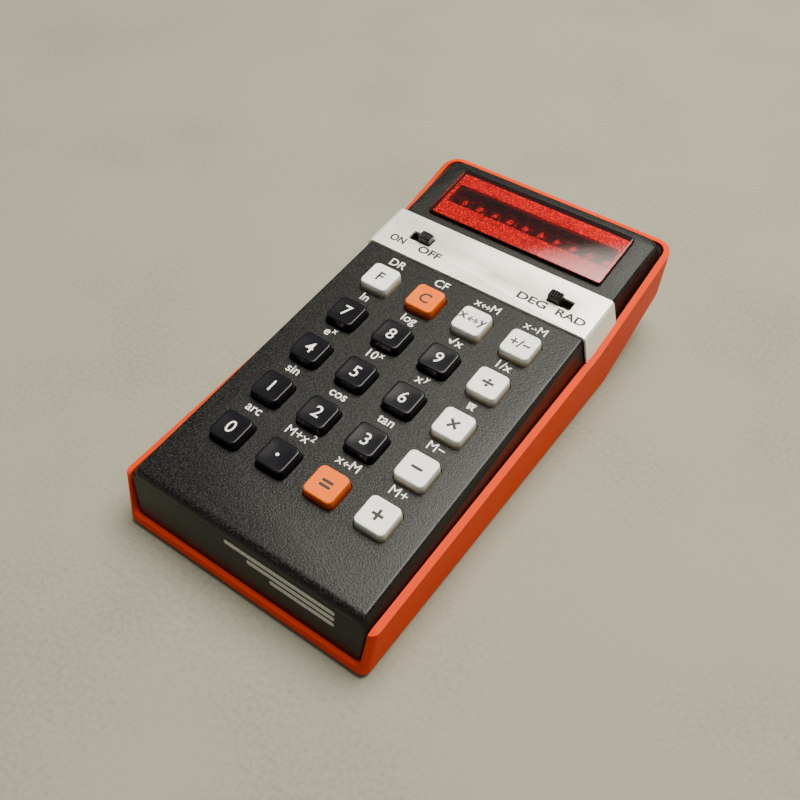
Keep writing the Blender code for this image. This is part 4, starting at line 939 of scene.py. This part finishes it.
BOARD = lacquered_board("green_lacquered_laminate")
EPOXY = satin_abs("moulded_black_epoxy", "#26262a", "#1b1b1e", roughness=0.5, peel=0.2, peel_height=0.02)
FILM = satin_abs("polyester_dome_film", "#d9d5c6", "#c2bda9", roughness=0.25)
SLEEVE_BLUE = banded("blue_shrink_sleeve", ((0.45, "#23406b"), (0.55, "#2b4c7e")), "X", 2.5)
# winding: painted shade between the turns, painted highlight on them
COPPER = banded("enamelled_copper_winding", ((0.0, "#6d2f16"), (0.8, "#c9733c")), "Z", 0.25, 0.8, 0.3, 0.05)
CELL_FILM = banded("printed_cell_sleeve", ((0.62, "#2a2c33"), (0.66, "#c58b3a")), "X", 33.0, 0.35, 0.3)
# cable: painted shade in the grooves between the ribs, painted highlight on the ribs
RIBBON = banded("ribbed_grey_flat_cable", ((0.1, "#7b7c7e"), (0.8, "#a9aaac")), "X", 0.635, 0.0, 0.45, 0.08)
WIRE_RED = satin_abs("red_vinyl_sleeve", "#b3211a", "#8f1812", roughness=0.42, streak=4)
WIRE_BLACK = satin_abs("black_vinyl_sleeve", "#1b1b1b", "#121212", roughness=0.42, streak=4)

INNER = {
    "main_board": (BOARD, "circuit_board"), "keypad_board": (BOARD, "circuit_board"),
    "display_board": (BOARD, "circuit_board"), "dome_sheet": (FILM, "dome_film"),
    "processor_chip": (EPOXY, "chip_epoxy"), "driver_chip_left": (EPOXY, "chip_epoxy"),
    "driver_chip_right": (EPOXY, "chip_epoxy"), "capacitor": (SLEEVE_BLUE, "capacitor_sleeve"),
    "coil": (COPPER, "coil_copper"), "battery_cell_1": (CELL_FILM, "cell_label"),
    "battery_cell_2": (CELL_FILM, "cell_label"), "battery_cell_3": (CELL_FILM, "cell_label"),
    "contact_negative": (NICKEL, "contact_nickel"), "contact_positive": (NICKEL, "contact_nickel"),
    "contact_bridge_left": (NICKEL, "contact_nickel"), "contact_bridge_right": (NICKEL, "contact_nickel"),
    "wire_negative": (WIRE_BLACK, "wire_sleeve"), "wire_positive": (WIRE_RED, "wire_sleeve"),
    "display_ribbon": (RIBBON, "flat_cable"), "keypad_ribbon": (RIBBON, "flat_cable"),
}
for name, (finish, slot_name) in INNER.items():
    smoothed_copy(name, finish)


def chip_legs(low, high, board_top, pitch=2.54 * MM):
    """Tinned legs down both long sides: each is a bent strip carried from the body to the board."""
    count = max(2, int((high[0] - low[0] - 1 * MM) // pitch) + 1)
    xs = (low[0] + high[0]) / 2 + (np.arange(count) - (count - 1) / 2) * pitch
    middle = (low[2] + high[2]) / 2
    strips = []
    for side, wall in ((-1, low[1]), (1, high[1])):
        for x in xs:
            bend = np.array([[x, wall, middle], [x, wall + side * 0.45 * MM, middle],
                             [x, wall + side * 0.55 * MM, middle - 0.3 * MM],
                             [x, wall + side * 0.55 * MM, board_top + 0.05 * MM]])
            flat = rounded_ring(0.35 * MM, 0.1 * MM, 0.03 * MM, 2)
            up = np.array([[0, 0, 1], [0, side, 1], [0, side, 0], [0, side, 0]], float)
            strips.append(surface(carried(flat, bend, np.array([1.0, 0, 0]), up)))
    return joined(strips)


copper_side = leaning_box("main_board")[1][2]
for name in ("processor_chip", "driver_chip_left", "driver_chip_right"):
    low, high = leaning_box(name)
    piece(name + "_legs", chip_legs(low, high, copper_side), NICKEL)
print("inner parts finished")

# %% [markdown]
# ## Table, lamps and camera
# The calculator lies on plain pale grey card, whose fibres show as a fine uneven tone.

# %% Table
floor_finish, tree, shader, place = new_finish("pale_grey_card", Roughness=0.9)
fibre = add_node(tree, "ShaderNodeTexNoise", {"Scale": per_mm(1.2), "Detail": 6.0}, {"Vector": place})
patch = add_node(tree, "ShaderNodeTexNoise", {"Scale": per_mm(60), "Detail": 2.0}, {"Vector": place})
blend = add_node(tree, "ShaderNodeMath", {}, {0: fibre.outputs["Fac"], 1: patch.outputs["Fac"]},
                 operation="ADD")
add_node(tree, "ShaderNodeValToRGB", links={"Fac": blend.outputs[0]},
         stops=((0.7, "#858372"), (1.0, "#918f7e")), into=shader.inputs["Base Color"])
add_node(tree, "ShaderNodeBump", {"Strength": 0.2, "Distance": 0.05 * MM},
         {"Height": fibre.outputs["Fac"]}, into=shader.inputs["Normal"])
TABLE_REACH = 3.0
corner = np.array([-TABLE_REACH, TABLE_REACH])
gx, gy = np.meshgrid(corner, corner)
floor_mesh = sheet_of(np.stack([gx, gy, np.zeros_like(gx)], axis=-1))
floor = bpy.data.objects.new("table_top", floor_mesh)
bpy.context.scene.collection.objects.link(floor)
floor_mesh.materials.append(floor_finish)

# %% [markdown]
# A broad soft lamp hangs over the calculator, a little behind it and to the right, so that its glow
# lies on the right end of the window. It fades from its middle to its edges, as a window with a
# blind does, because a lamp of even brightness would show as a hard-edged patch in the acrylic. A
# weak lamp fills from the left, and the grey of the room keeps the shadows open.

# %% Lamps
def soft_lamp(name, place, aim, size, watts, tint="#ffffff"):
    """Area lamp aimed at a point, its glow (1 - 4 (u - 1/2)^2) (1 - 4 (v - 1/2)^2) over its face."""
    lamp = bpy.data.lights.new(name, "AREA")
    lamp.shape = "RECTANGLE"
    lamp.size, lamp.size_y = size
    lamp.energy = watts
    lamp.color = linear(tint)[:3]
    lamp.use_nodes = True
    tree = lamp.node_tree
    where = add_node(tree, "ShaderNodeNewGeometry").outputs["Parametric"]
    split = add_node(tree, "ShaderNodeSeparateXYZ", links={"Vector": where})
    fades = []
    for axis in "XY":
        bow = add_node(tree, "ShaderNodeMath", {1: 0.5}, {0: split.outputs[axis]}, operation="SUBTRACT")
        square = add_node(tree, "ShaderNodeMath", {}, {0: bow.outputs[0], 1: bow.outputs[0]},
                          operation="MULTIPLY")
        fade = add_node(tree, "ShaderNodeMath", {1: -4.0, 2: 1.0}, {0: square.outputs[0]},
                        operation="MULTIPLY_ADD")
        fades.append(fade.outputs[0])
    glow = add_node(tree, "ShaderNodeMath", {}, {0: fades[0], 1: fades[1]}, operation="MULTIPLY")
    tree.links.new(glow.outputs[0], tree.nodes["Emission"].inputs["Strength"])
    holder = bpy.data.objects.new(name, lamp)
    bpy.context.scene.collection.objects.link(holder)
    holder.location = place
    holder.rotation_euler = (Vector(aim) - Vector(place)).to_track_quat("-Z", "Y").to_euler()
    return holder


soft_lamp("window_light", (0.10, 0.30, 0.92), (0, 0, 0), (0.94, 0.94), 52.0, "#fffdf0")
soft_lamp("left_fill", (-0.75, -0.25, 0.5), (0, 0, 0.01), (0.6, 0.5), 0.8, "#f2f6ff")
sky = bpy.data.worlds.new("room")
bpy.context.scene.world = sky
sky.use_nodes = True
sky.node_tree.nodes["Background"].inputs["Color"].default_value = linear("#e9ecee")
sky.node_tree.nodes["Background"].inputs["Strength"].default_value = 0.24

# %% [markdown]
# The camera stands in front, a little to the right, and looks down from about a quarter of a metre
# through a slightly long lens, so that the calculator narrows towards its display.

# %% Camera
lens = bpy.data.cameras.new("view")
camera = bpy.data.objects.new("view", lens)
bpy.context.scene.collection.objects.link(camera)
lens.lens = 43.08
lens.sensor_width = 36
lens.clip_start = 0.001
camera.location = (0.100416, -0.150157, 0.202520)
camera.rotation_euler = [math.radians(turn) for turn in (42.297, -0.475, 35.850)]
bpy.context.scene.camera = camera
print("camera at", [round(v, 3) for v in camera.location], "with a lens of", lens.lens, "mm")
